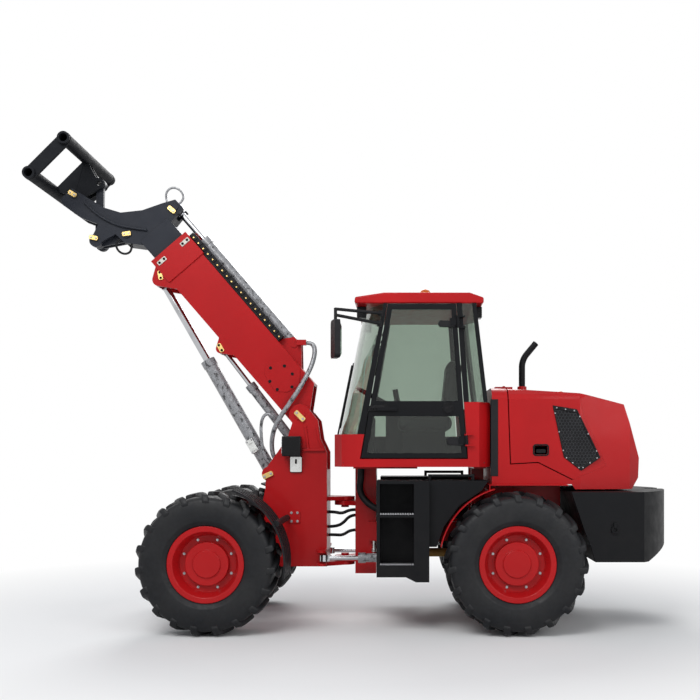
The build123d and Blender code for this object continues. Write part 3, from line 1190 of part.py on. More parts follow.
# Rear fenders over the inner half of the rear wheels, on the rails
SHEET_T = 8.0
FENDER_WALL = 300.0
FENDER_EDGE = 700.0
FENDER_X = (-1650.0, -1052.0)
ARCH_SHEET_GAP = 34.0   # tyre to the curved sheet ahead of it
ARCH_SHEET = (12.0, 74.0)        # its span round the wheel
ARCH_EDGE = STEP_OUT - 15.0
with BuildPart() as rear_fenders:
    for side in (-1, 1):
        top_y = sorted((side * FENDER_WALL, side * FENDER_EDGE))
        block((FENDER_X[0], top_y[0], HOOD_BOTTOM - SHEET_T), (FENDER_X[1], top_y[1], HOOD_BOTTOM))
        wall_y = sorted((side * FENDER_WALL, side * (FENDER_WALL + SHEET_T)))
        block((FENDER_X[0], wall_y[0], RAIL_Z + RAIL_H - SHEET_T), (FENDER_X[1], wall_y[1], HOOD_BOTTOM))
        foot_y = sorted((side * (RAIL_IN + RAIL_T), side * (FENDER_WALL + SHEET_T)))
        block((FENDER_X[0], foot_y[0], RAIL_Z + RAIL_H - SHEET_T), (FENDER_X[1], foot_y[1], RAIL_Z + RAIL_H))
        arch_y = sorted((side * FENDER_WALL, side * ARCH_EDGE))
        strip_over_wheel(REAR_AXLE_X, TYRE_R + ARCH_SHEET_GAP, SHEET_T, *ARCH_SHEET, *arch_y)
        joint_z = TYRE_R + sqrt((TYRE_R + ARCH_SHEET_GAP) ** 2 - (FENDER_X[1] - REAR_AXLE_X) ** 2)
        block((FENDER_X[1] - SHEET_T, top_y[0], joint_z), (FENDER_X[1], top_y[1], HOOD_BOTTOM))
finish_piece(rear_fenders, "rear_fenders")

# Counterweight with a tow jaw
JAW_HALF = 60.0
JAW_Z = (720.0, 810.0)
JAW_DEPTH = 130.0
JAW_LIP = 60.0
TOW_BORE_R = 16.0
TOW_BACK = 62.0
WEIGHT_SIDE_X = -2205.0
with BuildPart() as counterweight:
    with BuildSketch(Plane.XY.offset(WEIGHT_BOTTOM)):
        with BuildLine():
            bow = ThreePointArc((WEIGHT_SIDE_X, -WEIGHT_HALF), (WEIGHT_TAIL, 0), (WEIGHT_SIDE_X, WEIGHT_HALF))
            Polyline(bow @ 1, (-1600, WEIGHT_HALF), (-1600, -WEIGHT_HALF), bow @ 0)
        make_face()
    extrude(amount=WEIGHT_TOP - WEIGHT_BOTTOM)
    profile = [
        (-1661, WEIGHT_TOP),
        (-1758, 779),
        (-1803, 667),
        (-1841, WEIGHT_BOTTOM),
        (-2250, WEIGHT_BOTTOM),
        (WEIGHT_TAIL, 660),
        (WEIGHT_TAIL, WEIGHT_TOP),
    ]
    side_plate(profile, -WEIGHT_HALF - 1, WEIGHT_HALF + 1, mode=Mode.INTERSECT)
    block((WEIGHT_FACE, -RAIL_IN - RAIL_T - 10, RAIL_Z - 10), (-1600, RAIL_IN + RAIL_T + 10, RAIL_Z + RAIL_H + 10), mode=Mode.SUBTRACT)
    for side in (-1, 1):
        foot = sorted((side * RAIL_IN, side * (RAIL_IN + RAIL_T)))
        block((WEIGHT_FACE - 80, foot[0], RAIL_Z + 10), (WEIGHT_FACE, foot[1], RAIL_Z + RAIL_H - 10))
    jaw_back = WEIGHT_TAIL + JAW_DEPTH
    for low, high, half in ((JAW_Z[0], JAW_Z[1], JAW_HALF), (JAW_Z[1] + JAW_LIP, WEIGHT_TOP + 1, JAW_HALF + 12),
                            (WEIGHT_BOTTOM, JAW_Z[0] - JAW_LIP, JAW_HALF + 12)):
        block((WEIGHT_TAIL - 1, -half, low), (jaw_back, half, high), mode=Mode.SUBTRACT)
    with Locations((WEIGHT_TAIL + TOW_BACK, 0, (JAW_Z[0] + JAW_Z[1]) / 2)):
        Cylinder(TOW_BORE_R, JAW_Z[1] - JAW_Z[0] + 2 * JAW_LIP + 2, mode=Mode.SUBTRACT)
finish_piece(counterweight, "counterweight")

# Hood: one folded shell, cut along its seams into the fixed sides, the lifting panel and its tail
HOOD_TAIL = -2236.0
TAIL_SLOPE = (138.0, 130.0)      # top of the tail's slope from the tail and from the top
TAIL_TUCK = 69.0        # of its foot from the tail
TAIL_HALF = 530.0
TAPER_X = -1752.0
SEAM = 0.6              # between panel and tail, which lift together
FRONT_SEAM = (-1194.0, -1217.0)
SEAM_CORNER = (-1431.0, 1281.0)
SEAM_END = (-1690.0, 1151.0)
TAIL_BOTTOM = WEIGHT_TOP + 15.0
EXHAUST_X = -1383.0
BOOT_R = 38.0
BOOT_TOP = HOOD_TOP + 44.0
BEACON_HOOD_X = -1702.0
BEACON_HOOD_R = 37.0
GRILLE = [(-1545, HOOD_TOP - 145), (-1729, HOOD_TOP - 175), (-1905, 1325), (-1759, 1225), (-1629, 1327)]
HINGE_ARM_Y = (280.0, 340.0)
HOOD_PIN_R = 8.0
HOOD_KNUCKLE_R = 15.0


def hood_block(inset):
    """Add the hood's outer or inner form: side profile, cross-section and plan brought together."""
    side_view = [
        (HOOD_FRONT - inset, HOOD_BOTTOM - 60),
        (HOOD_FRONT - inset, HOOD_TOP - inset),
        (TAPER_X, HOOD_TOP - 45 - inset),
        (HOOD_TAIL + TAIL_SLOPE[0] + 0.8 * inset, HOOD_TOP - TAIL_SLOPE[1] - 0.9 * inset),
        (HOOD_TAIL + inset, 1319),
        (HOOD_TAIL + 8 + inset, 1166),
        (HOOD_TAIL + TAIL_TUCK + 0.7 * inset, TAIL_BOTTOM),
        (HOOD_TAIL + TAIL_TUCK + 0.7 * inset, HOOD_BOTTOM - 60),
    ]
    side_plate(side_view, -HOOD_HALF, HOOD_HALF)
    section = [
        (HOOD_HALF - inset, HOOD_BOTTOM - 80),
        *[(HOOD_HALF - HOOD_ROUND[0] + (HOOD_ROUND[0] - inset) * cos(radians(a)),
           CREASE_Z + (HOOD_ROUND[1] - inset) * sin(radians(a))) for a in (0, 25, 52, 90)],
    ]
    with BuildSketch(Plane.YZ.offset(HOOD_TAIL - 10)) as front_view:
        with BuildLine():
            Polyline(*section, *[(-y, z) for y, z in reversed(section)], close=True)
        make_face()
    extrude(front_view.sketch, amount=HOOD_FRONT - HOOD_TAIL + 20, mode=Mode.INTERSECT)
    plan = [
        (HOOD_FRONT + 10, HOOD_HALF - inset),
        (TAPER_X, HOOD_HALF - inset),
        (HOOD_TAIL + 90, TAIL_HALF + 30 - inset),
        (HOOD_TAIL - 10, TAIL_HALF - 60 - inset),
    ]
    with BuildSketch(Plane.XY.offset(HOOD_BOTTOM - 90)) as top_view:
        with BuildLine():
            Polyline(*plan, *[(x, -y) for x, y in reversed(plan)], close=True)
        make_face()
    extrude(top_view.sketch, amount=HOOD_TOP - HOOD_BOTTOM + 100, mode=Mode.INTERSECT)


with BuildPart() as hood_core:
    hood_block(HOOD_WALL)
with BuildPart() as hood_shell:
    hood_block(0)
    add(hood_core.part, mode=Mode.SUBTRACT)
    trim = [
        (HOOD_FRONT + 20, HOOD_BOTTOM),
        (SEAM_END[0], HOOD_BOTTOM),
        (SEAM_END[0] - 25, TAIL_BOTTOM),
        (HOOD_TAIL - 20, TAIL_BOTTOM),
        (HOOD_TAIL - 20, HOOD_BOTTOM - 100),
        (HOOD_FRONT + 20, HOOD_BOTTOM - 100),
    ]
    side_plate(trim, -HOOD_HALF - 1, HOOD_HALF + 1, mode=Mode.SUBTRACT)

FIXED_SIDE = [
    (HOOD_FRONT + 30, HOOD_BOTTOM - 50),
    (HOOD_FRONT + 30, HOOD_TOP + 50),
    (FRONT_SEAM[0], HOOD_TOP + 50),
    (FRONT_SEAM[1], SEAM_CORNER[1] - 12),
    SEAM_CORNER,
    SEAM_END,
    (SEAM_END[0], HOOD_BOTTOM - 50),
]
TAIL_SIDE = [
    (-1748, HOOD_TOP + 50),
    (-1748, HOOD_TOP - 53),
    (-1782, HOOD_TOP - 214),
    (-1958, 1258),
    SEAM_END,
    (SEAM_END[0], HOOD_BOTTOM - 90),
    (HOOD_TAIL - 60, HOOD_BOTTOM - 90),
    (HOOD_TAIL - 60, HOOD_TOP + 50),
]


def seam_cut(outline, grow, mode):
    """Cut the active part across its width by a side-view outline grown by a gap."""
    with BuildSketch(Plane.XZ.offset(-HOOD_HALF - 5)) as region:
        with BuildLine():
            Polyline(*outline, close=True)
        make_face()
        if grow:
            offset(amount=grow, kind=Kind.INTERSECTION)
    extrude(region.sketch, amount=2 * HOOD_HALF + 10, mode=mode)


with BuildPart() as side_panels:
    add(hood_shell.part)
    seam_cut(FIXED_SIDE, 0, Mode.INTERSECT)
    for side in (-1, 1):
        ends = [side * (HINGE_ARM_Y[0] - 11), side * (HINGE_ARM_Y[1] + 11)]
        side_disc(HOOD_PIVOT, HOOD_PIN_R, *sorted(ends))
        for end in ends:
            toward = 10 if abs(end) < HINGE_ARM_Y[0] else -10
            leaf = sorted((end, end + side * toward))
            side_disc(HOOD_PIVOT, HOOD_KNUCKLE_R, *leaf)
            block((HOOD_PIVOT[0], leaf[0], HOOD_PIVOT[1] - 12), (HOOD_PIVOT[0] + 70, leaf[1], HOOD_PIVOT[1] + 8))
            block((FRONT_SEAM[0], leaf[0], HOOD_TOP - 18), (HOOD_PIVOT[0] + 70, leaf[1], HOOD_PIVOT[1]))
finish_piece(side_panels, "side_panels")

with BuildPart() as hood_panel:
    add(hood_shell.part)
    seam_cut(FIXED_SIDE, SWING_GAP, Mode.SUBTRACT)
    seam_cut(TAIL_SIDE, SEAM, Mode.SUBTRACT)
    for low, high in ((-HOOD_HALF - 1, -HOOD_HALF + HOOD_WALL + 1), (HOOD_HALF - HOOD_WALL - 1, HOOD_HALF + 1)):
        side_plate(GRILLE, low, high, mode=Mode.SUBTRACT)
    for hole_x, hole_r in ((EXHAUST_X, BOOT_R), (BEACON_HOOD_X, BEACON_HOOD_R)):
        with Locations((hole_x, 0, HOOD_TOP - 40)):
            Cylinder(hole_r + SEAT_GAP, 120, mode=Mode.SUBTRACT)
    for side in (-1, 1):
        knuckle = sorted((side * HINGE_ARM_Y[0], side * HINGE_ARM_Y[1]))
        side_disc(HOOD_PIVOT, HOOD_KNUCKLE_R, *knuckle)
        block((HOOD_PIVOT[0] - 70, knuckle[0], HOOD_TOP - 18), (HOOD_PIVOT[0] - 6, knuckle[1], HOOD_PIVOT[1] + 8))
        block((HOOD_PIVOT[0] - 70, knuckle[0], HOOD_TOP + 1), (HOOD_PIVOT[0], knuckle[1], HOOD_PIVOT[1] + 8))
        side_disc(HOOD_PIVOT, HOOD_PIN_R + PIN_FIT, knuckle[0] - 1, knuckle[1] + 1, mode=Mode.SUBTRACT)
finish_piece(hood_panel, "hood_panel")

with BuildPart() as hood_tail:
    add(hood_shell.part)
    seam_cut(TAIL_SIDE, 0, Mode.INTERSECT)
finish_piece(hood_tail, "hood_tail")

with BuildPart() as hood_grilles:
    for low, high in ((-HOOD_HALF + 2, -HOOD_HALF + HOOD_WALL - 2), (HOOD_HALF - HOOD_WALL + 2, HOOD_HALF - 2)):
        with BuildSketch(Plane.XZ.offset(-high)) as screen:
            with BuildLine():
                Polyline(*GRILLE, close=True)
            make_face()
            offset(amount=-SEAT_GAP, kind=Kind.INTERSECTION)
        extrude(screen.sketch, amount=high - low)
finish_piece(hood_grilles, "hood_grilles")

EXHAUST_R = 26.0
EXHAUST_TIP = (-1499.0, 2265.0)
EXHAUST_BEND = 2125.0   # height where the pipe leans back
EXHAUST_TURN = 170.0
with BuildPart() as exhaust_stack:
    rod_between((EXHAUST_X, 0, HOOD_TOP - 60), (EXHAUST_X, 0, BOOT_TOP), BOOT_R)
    with BuildLine(Plane.XZ) as stack:
        FilletPolyline((EXHAUST_X, BOOT_TOP - 6), (EXHAUST_X, EXHAUST_BEND), EXHAUST_TIP, radius=EXHAUST_TURN)
    pipe = stack.wires()[0]
    with BuildSketch(Plane(origin=pipe @ 0, z_dir=pipe % 0)) as pipe_end:
        Circle(EXHAUST_R)
    sweep(pipe_end.sketch, path=pipe)
finish_piece(exhaust_stack, "exhaust_stack")

with BuildPart() as hood_lamps:
    with Locations((BEACON_HOOD_X, 0, HOOD_TOP - 58)):
        Cylinder(BEACON_HOOD_R, 52)
    with Locations((BEACON_HOOD_X, 0, HOOD_TOP - 32)):
        Sphere(BEACON_HOOD_R)
    rear_top = (HOOD_TAIL + TAIL_SLOPE[0], HOOD_TOP - TAIL_SLOPE[1])
    rear_low = (HOOD_TAIL, 1319.0)
    run = (Vector(*rear_low) - Vector(*rear_top)).normalized()
    out = Vector(run.Y, -run.X) if run.Y < 0 else Vector(-run.Y, run.X)
    lamp_from = Vector(*rear_top) + run * 60
    lamp_to = Vector(*rear_top) + run * 330
    strip = [lamp_from, lamp_to, lamp_to + out * 14, lamp_from + out * 14]
    for low, high in ((-430, -360), (360, 430)):
        side_plate([(v.X, v.Y) for v in strip], low, high)
finish_piece(hood_lamps, "hood_lamps")

# Chain that guides the head's hoses along the boom's top
CHAIN_Y = (84.0, 140.0)
CHAIN_T = 62.0
CHAIN_S = (575.0, 1700.0)
CHAIN_PITCH = 59.0
CHAIN_LINK = 47.0
CHAIN_INSET = 7.0
CHAIN_FOOT = 18.0
with BuildPart() as hose_chain:
    run = [
        (CHAIN_S[0], BOOM_TOP),
        (BOOM_NOSE - COLLAR_L - 2, BOOM_TOP),
        (BOOM_NOSE - COLLAR_L - 2, BOOM_TOP + COLLAR_T),
        (CHAIN_S[1], BOOM_TOP + COLLAR_T),
        (CHAIN_S[1], BOOM_TOP + CHAIN_T - CHAIN_INSET),
        (CHAIN_S[0], BOOM_TOP + CHAIN_T - CHAIN_INSET),
    ]
    side_plate(run, CHAIN_Y[0] + CHAIN_INSET, CHAIN_Y[1] - CHAIN_INSET, BOOM)
    for link in range(int((CHAIN_S[1] - CHAIN_S[0]) / CHAIN_PITCH)):
        link_s = CHAIN_S[0] + link * CHAIN_PITCH
        plate = [
            (link_s, BOOM_TOP + CHAIN_FOOT),
            (link_s + CHAIN_LINK, BOOM_TOP + CHAIN_FOOT),
            (link_s + CHAIN_LINK, BOOM_TOP + CHAIN_T),
            (link_s, BOOM_TOP + CHAIN_T),
        ]
        side_plate(plate, *CHAIN_Y, BOOM)
finish_piece(hose_chain, "hose_chain")


def bend_radii(points):
    """Largest tangent arcs for a hose's corners: 0.45 of the shorter run over tan of half the turn."""
    radii = []
    for before, at, after in zip(points, points[1:], points[2:]):
        into = Vector(*at) - Vector(*before)
        away = Vector(*after) - Vector(*at)
        half_turn = radians(into.get_angle(away)) / 2
        radii.append(0.45 * min(into.length, away.length) / tan(half_turn))
    return radii


def hose(name, points, radius):
    """Add a round hose along straight runs joined by tangent arcs, and print its bends and volume."""
    radii = bend_radii(points)
    with BuildLine() as route:
        FilletPolyline(*points, radius=radii)
    path = route.wires()[0]
    with BuildSketch(Plane(origin=path @ 0, z_dir=path % 0)) as section:
        Circle(radius)
    sweep(section.sketch, path=path)
    print(name, "radii", [round(r) for r in radii], "length", round(path.length, 1),
          "volume", round(3.14159265 * radius * radius * path.length))


# Hoses: the wrapped bundle from boom to tower, the loop to the levelling cylinder's port,
# the three across the steering pivot, and those on the head
BUNDLE_R = 19.0
BUNDLE = [
    BUNDLE_FROM, (352, 96, 2258), (322, 112, 2222), (318, 140, 2150), (346, 178, 2045), (420, 202, 1902), (502, 214, 1775),
    (586, 205, 1655), (648, 165, 1550), (672, 122, 1447), (668, 106, 1362), (648, 105, 1306), BUNDLE_TO,
]
LOOP_R = 13.0
LOOP = [
    LOOP_FROM, (640, 92, 1622), (660, 112, 1654), (700, 114, 1680), (742, 112, 1658), (762, 108, 1582), (758, 104, 1482),
    (748, 102, 1388), (722, 100, 1310), (664, 100, 1258), LOOP_TO,
]
PIVOT_R = 13.0
PIVOT_HOSES = [
    # lateral middle, height at the front, at the middle and at the post
    (48, 872, 858, 890),
    (0, 748, 770, 842),
    (-48, 676, 672, 716),
]
HEAD_R = 9.0
HEAD_LOOPS = [
    [(1822, 84, 3064.2), (1822, 84, 3022), (1846, 85, 2990), (1890, 86, 2984), (1930, 86, 3008), (1950, 85, 3046),
     (1946.5, 84, 3078.6), (1915.5, 84, 3110)],
    [(1429.8, 92, 3394.3), (1397, 92, 3425.5), (1396, 97, 3470), (1430, 100, 3512), (1484, 100, 3528), (1530, 97, 3500),
     (1542.6, 92, 3450.3), (1530.1, 92, 3407.2)],
]
with BuildPart() as boom_hoses:
    hose("boom bundle", BUNDLE, BUNDLE_R)
    hose("port loop", LOOP, LOOP_R)
finish_piece(boom_hoses, "boom_hoses")

with BuildPart() as pivot_hoses:
    for hose_y, front_z, mid_z, post_z in PIVOT_HOSES:
        route = [
            (TOWER_REAR, hose_y, front_z),
            (TOWER_REAR - 50, hose_y, front_z),
            ((TOWER_REAR + POST_FRONT) / 2, hose_y + 8, mid_z),
            (POST_FRONT + 50, hose_y, post_z),
            (POST_FRONT, hose_y, post_z),
        ]
        hose("pivot hose", route, PIVOT_R)
finish_piece(pivot_hoses, "pivot_hoses")

with BuildPart() as head_hoses:
    for loop in HEAD_LOOPS:
        hose("head hose", loop, HEAD_R)
finish_piece(head_hoses, "head_hoses")

FILLER_R = 27.0
FILLER = [
    (-62, 236, 1235), (-62, 236, 1150), (-48, 240, 1068), (-84, 256, 985), (-160, 296, 925), (-240, 350, 896), (-240, 425, 896),
]
with BuildPart() as filler_pipe:
    hose("filler pipe", FILLER, FILLER_R)
finish_piece(filler_pipe, "filler_pipe")
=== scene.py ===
"""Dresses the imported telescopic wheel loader: paint, rubber, glass, hoses, studio light and camera."""

import json
import logging
import math
from dataclasses import dataclass, field
from enum import Enum
from typing import Sequence

import bmesh
import bpy
from mathutils import Matrix, Vector


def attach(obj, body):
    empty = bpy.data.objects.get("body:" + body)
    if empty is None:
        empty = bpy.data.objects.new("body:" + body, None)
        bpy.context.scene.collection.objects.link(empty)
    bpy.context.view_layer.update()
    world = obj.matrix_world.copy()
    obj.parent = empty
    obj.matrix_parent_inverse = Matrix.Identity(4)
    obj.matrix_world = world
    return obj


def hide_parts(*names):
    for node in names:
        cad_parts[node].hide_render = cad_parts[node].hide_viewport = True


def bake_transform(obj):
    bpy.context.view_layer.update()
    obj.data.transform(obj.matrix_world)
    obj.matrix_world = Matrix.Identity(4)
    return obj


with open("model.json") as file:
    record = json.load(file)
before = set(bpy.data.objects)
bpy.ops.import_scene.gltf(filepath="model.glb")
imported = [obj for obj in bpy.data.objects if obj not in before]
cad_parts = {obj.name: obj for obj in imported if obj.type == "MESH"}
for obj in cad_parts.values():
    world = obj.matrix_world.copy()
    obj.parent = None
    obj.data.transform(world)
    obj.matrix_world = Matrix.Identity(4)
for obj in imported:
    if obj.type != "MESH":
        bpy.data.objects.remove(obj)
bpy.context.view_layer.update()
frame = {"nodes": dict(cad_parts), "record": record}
LOG = logging.getLogger("loader")

MM = 0.001
SHARP_ANGLE = 32.0
WELD = 2e-5
FLAT_ANGLE = 0.5
SOFT_ANGLES = (0.3, 1.25)
SOFT_SEGMENTS = 5
HEX_CORNER = 0.577
HAIRLINE = 0.1
BOOM_FOOT = (434.0, 1663.0)
BOOM_COS, BOOM_SIN = 0.65342, 0.75700

Color = tuple[float, float, float]
Point = tuple[float, float, float]
Flat = tuple[float, float]
Spot = tuple[Point, Point]
Socket = bpy.types.NodeSocket


class Side(Enum):
    """Side of the machine, as the sign of Y."""

    LEFT = 1
    RIGHT = -1


class Shader:
    """A material's node tree with short methods for the parts that every finish needs."""

    def __init__(self, name: str) -> None:
        """Start an empty tree with one principled surface.

        Args:
            name: Name of the material.
        """
        self.material = bpy.data.materials.new(name)
        self.material.use_nodes = True
        self.nodes = self.material.node_tree.nodes
        self.links = self.material.node_tree.links
        self.nodes.clear()
        self.out = self.nodes.new("ShaderNodeOutputMaterial")
        self.surface = self.nodes.new("ShaderNodeBsdfPrincipled")
        self.links.new(self.surface.outputs[0], self.out.inputs[0])
        self.place = self.nodes.new("ShaderNodeTexCoord").outputs["Object"]

    def set(self, **values: float | Color) -> None:
        """Set constant sockets of the surface.

        Args:
            values: Value of each socket, by its name with underscores.
        """
        for key, value in values.items():
            socket = self.surface.inputs[key.replace("_", " ")]
            socket.default_value = (*value, 1.0) if isinstance(value, tuple) else value

    def stretch(self, scale: Point) -> Socket:
        """Scale the object's own coordinates.

        Args:
            scale: Factor along each axis.

        Returns:
            The scaled coordinates.
        """
        mapping = self.nodes.new("ShaderNodeMapping")
        mapping.inputs["Scale"].default_value = scale
        self.links.new(self.place, mapping.inputs["Vector"])
        return mapping.outputs[0]

    def noise(self, scale: float, detail: float = 3.0, vector: Socket | None = None) -> Socket:
        """Noise over the object's own coordinates.

        Args:
            scale: Cells per metre.
            detail: Octaves.
            vector: Other coordinates to read.

        Returns:
            The noise's value.
        """
        node = self.nodes.new("ShaderNodeTexNoise")
        node.inputs["Scale"].default_value = scale
        node.inputs["Detail"].default_value = detail
        self.links.new(vector or self.place, node.inputs["Vector"])
        return node.outputs["Fac"]

    def cells(self, scale: float, vector: Socket | None = None) -> Socket:
        """Distance to the nearest point of a scattered set.

        Args:
            scale: Points per metre.
            vector: Other coordinates to read.

        Returns:
            The distance.
        """
        node = self.nodes.new("ShaderNodeTexVoronoi")
        node.inputs["Scale"].default_value = scale
        self.links.new(vector or self.place, node.inputs["Vector"])
        return node.outputs["Distance"]

    def span(self, value: Socket, low: float, high: float,
             from_low: float = 0.3, from_high: float = 0.7) -> Socket:
        """Remap a value to another range.

        Args:
            value: The value.
            low: Start of the new range.
            high: End of the new range.
            from_low: Start of the old range.
            from_high: End of the old range.

        Returns:
            The remapped value.
        """
        node = self.nodes.new("ShaderNodeMapRange")
        for index, number in enumerate((from_low, from_high, low, high), start=1):
            node.inputs[index].default_value = number
        self.links.new(value, node.inputs[0])
        return node.outputs[0]

    def ramp(self, value: Socket, stops: Sequence[tuple[float, Color]]) -> Socket:
        """Colour ramp through the given stops.

        Args:
            value: Place on the ramp.
            stops: Place and colour of each stop.

        Returns:
            The colour.
        """
        node = self.nodes.new("ShaderNodeValToRGB")
        elements = node.color_ramp.elements
        while len(elements) < len(stops):
            elements.new(0.5)
        for element, (at, color) in zip(elements, stops):
            element.position = at
            element.color = (*color, 1.0)
        self.links.new(value, node.inputs[0])
        return node.outputs[0]

    def mix(self, factor: Socket, first: Socket, second: Color) -> Socket:
        """Blend a colour over another.

        Args:
            factor: Share of the second colour.
            first: The colour below.
            second: The colour above.

        Returns:
            The blended colour.
        """
        node = self.nodes.new("ShaderNodeMix")
        node.data_type = "RGBA"
        self.links.new(factor, node.inputs["Factor"])
        self.links.new(first, node.inputs[6])
        node.inputs[7].default_value = (*second, 1.0)
        return node.outputs[2]

    def times(self, first: Socket, second: Socket) -> Socket:
        """Multiply two values.

        Args:
            first: One value.
            second: The other.

        Returns:
            Their product.
        """
        node = self.nodes.new("ShaderNodeMath")
        node.operation = "MULTIPLY"
        self.links.new(first, node.inputs[0])
        self.links.new(second, node.inputs[1])
        return node.outputs[0]

    def drive(self, socket: str, value: Socket) -> None:
        """Link a value to one of the surface's sockets."""
        self.links.new(value, self.surface.inputs[socket])

    def bump(self, height: Socket, strength: float, distance: float) -> None:
        """Roughen the surface by a height map.

        Args:
            height: The height.
            strength: How much of it shows.
            distance: Metres from its lowest to its highest place.
        """
        node = self.nodes.new("ShaderNodeBump")
        node.inputs["Strength"].default_value = strength
        node.inputs["Distance"].default_value = distance
        self.links.new(height, node.inputs["Height"])
        self.drive("Normal", node.outputs[0])


def seen_rays(tree: bpy.types.NodeTree) -> Socket:
    """Tell the rays that show the backdrop, straight, mirrored or through glass.

    Args:
        tree: Node tree of a material or a world.

    Returns:
        One for such a ray, and zero for the rest.
    """
    path = tree.nodes.new("ShaderNodeLightPath")
    total = path.outputs["Is Camera Ray"]
    for name in ("Is Glossy Ray", "Is Transmission Ray"):
        most = tree.nodes.new("ShaderNodeMath")
        most.operation = "MAXIMUM"
        tree.links.new(total, most.inputs[0])
        tree.links.new(path.outputs[name], most.inputs[1])
        total = most.outputs[0]
    return total


def shade(color: Color, factor: float) -> Color:
    """The colour made lighter or darker."""
    return tuple(min(1.0, channel * factor) for channel in color)


@dataclass(frozen=True)
class Paint:
    """Sprayed machine paint with a clear gloss, faint peel and road dust low down."""

    name: str
    slot: str
    color: Color
    rough: float = 0.3
    coat: float = 0.5
    gloss: float = 0.14
    dust: Color = (0.30, 0.25, 0.21)
    dust_top: float = 1.1
    dust_most: float = 0.16

    @property
    def tones(self) -> list[tuple[float, Color]]:
        """Stops of the paint's uneven tone."""
        return [(0.3, shade(self.color, 0.9)), (0.7, shade(self.color, 1.08))]

    def material(self) -> bpy.types.Material:
        """Build the material.

        Returns:
            The material.
        """
        tree = Shader(self.name)
        tone = tree.ramp(tree.noise(1.7, 4), self.tones)
        split = tree.nodes.new("ShaderNodeSeparateXYZ")
        tree.links.new(tree.place, split.inputs[0])
        low = tree.span(split.outputs["Z"], self.dust_most, 0.0, 0.2, self.dust_top)
        patch = tree.span(tree.noise(9.0, 6), 0.15, 1.0)
        tree.drive("Base Color", tree.mix(tree.times(low, patch), tone, self.dust))
        tree.drive("Roughness", tree.span(tree.noise(14.0, 5), self.rough - 0.05, self.rough + 0.1))
        tree.set(Coat_Weight=self.coat, Coat_Roughness=0.08, Specular_IOR_Level=self.gloss)
        tree.bump(tree.noise(260.0, 2), 0.04, 0.002)
        return tree.material


@dataclass(frozen=True)
class Rubber:
    """Moulded tyre rubber with a bloom of dust in its texture."""

    name: str
    slot: str
    color: Color
    dust: Color = (0.12, 0.115, 0.105)

    def material(self) -> bpy.types.Material:
        """Build the material.

        Returns:
            The material.
        """
        tree = Shader(self.name)
        bloom = tree.span(tree.noise(6.0, 6), 0.0, 0.35)
        stops = [(0.3, shade(self.color, 0.75)), (0.7, shade(self.color, 1.25))]
        tone = tree.ramp(tree.noise(30.0, 5), stops)
        tree.drive("Base Color", tree.mix(bloom, tone, self.dust))
        tree.drive("Roughness", tree.span(tree.noise(45.0, 4), 0.4, 0.62))
        tree.set(Specular_IOR_Level=0.24)
        tree.bump(tree.noise(340.0, 3), 0.18, 0.002)
        return tree.material


@dataclass(frozen=True)
class Metal:
    """Bare or plated metal with fine grain and faint stains."""

    name: str
    slot: str
    color: Color
    rough: float
    grain: Point = (60.0, 60.0, 60.0)

    def material(self) -> bpy.types.Material:
        """Build the material.

        Returns:
            The material.
        """
        tree = Shader(self.name)
        tree.set(Metallic=1.0)
        stops = [(0.3, shade(self.color, 0.82)), (0.7, shade(self.color, 1.08))]
        tone = tree.ramp(tree.noise(8.0, 5), stops)
        tree.drive("Base Color", tone)
        streak = tree.noise(1.0, 4, tree.stretch(self.grain))
        tree.drive("Roughness", tree.span(streak, self.rough * 0.7, self.rough * 1.5))
        tree.bump(streak, 0.03, 0.001)
        return tree.material


@dataclass(frozen=True)
class Plastic:
    """Grained moulded plastic."""

    name: str
    slot: str
    color: Color
    rough: float = 0.5
    grain: float = 420.0

    def material(self) -> bpy.types.Material:
        """Build the material.

        Returns:
            The material.
        """
        tree = Shader(self.name)
        stops = [(0.3, shade(self.color, 0.85)), (0.7, shade(self.color, 1.2))]
        tone = tree.ramp(tree.noise(5.0, 4), stops)
        tree.drive("Base Color", tone)
        tree.drive("Roughness", tree.span(tree.noise(25.0, 4), self.rough - 0.08, self.rough + 0.12))
        tree.set(Specular_IOR_Level=0.16)
        tree.bump(tree.cells(self.grain), 0.12, 0.001)
        return tree.material


@dataclass(frozen=True)
class Film:
    """Crumpled clear packing film over a barrel or a hose, with painted reflections: dark and bright bands in
    its creases.
    """

    name: str
    slot: str
    color: Color
    # Colour of the painted dark reflections in the film's creases.
    dark: Color

    def material(self) -> bpy.types.Material:
        """Build the material.

        Returns:
            The material.
        """
        tree = Shader(self.name)
        # The crease noise bumps the surface for real, and its ramp paints dark and bright bands into the
        # colour as painted reflections.
        crease = tree.noise(34.0, 7, tree.stretch((1.0, 1.6, 0.8)))
        stops = [(0.36, self.dark), (0.48, self.color), (0.55, shade(self.color, 0.7)),
                 (0.66, shade(self.color, 1.25))]
        tree.drive("Base Color", tree.ramp(crease, stops))
        tree.drive("Roughness", tree.span(tree.noise(20.0, 4), 0.12, 0.42))
        tree.set(Coat_Weight=0.6, Coat_Roughness=0.12)
        tree.bump(crease, 0.5, 0.006)
        return tree.material


@dataclass(frozen=True)
class Glass:
    """Tinted safety glass with faint wiping marks."""

    name: str
    slot: str
    color: Color

    def material(self) -> bpy.types.Material:
        """Build the material.

        Returns:
            The material.
        """
        tree = Shader(self.name)
        stops = [(0.3, shade(self.color, 0.96)), (0.7, shade(self.color, 1.03))]
        tone = tree.ramp(tree.noise(1.2, 3), stops)
        tree.drive("Base Color", tone)
        tree.drive("Roughness", tree.span(tree.noise(7.0, 5, tree.stretch((1.0, 1.0, 0.4))), 0.0, 0.03))
        tree.set(Transmission_Weight=1.0, IOR=1.45)
        return tree.material


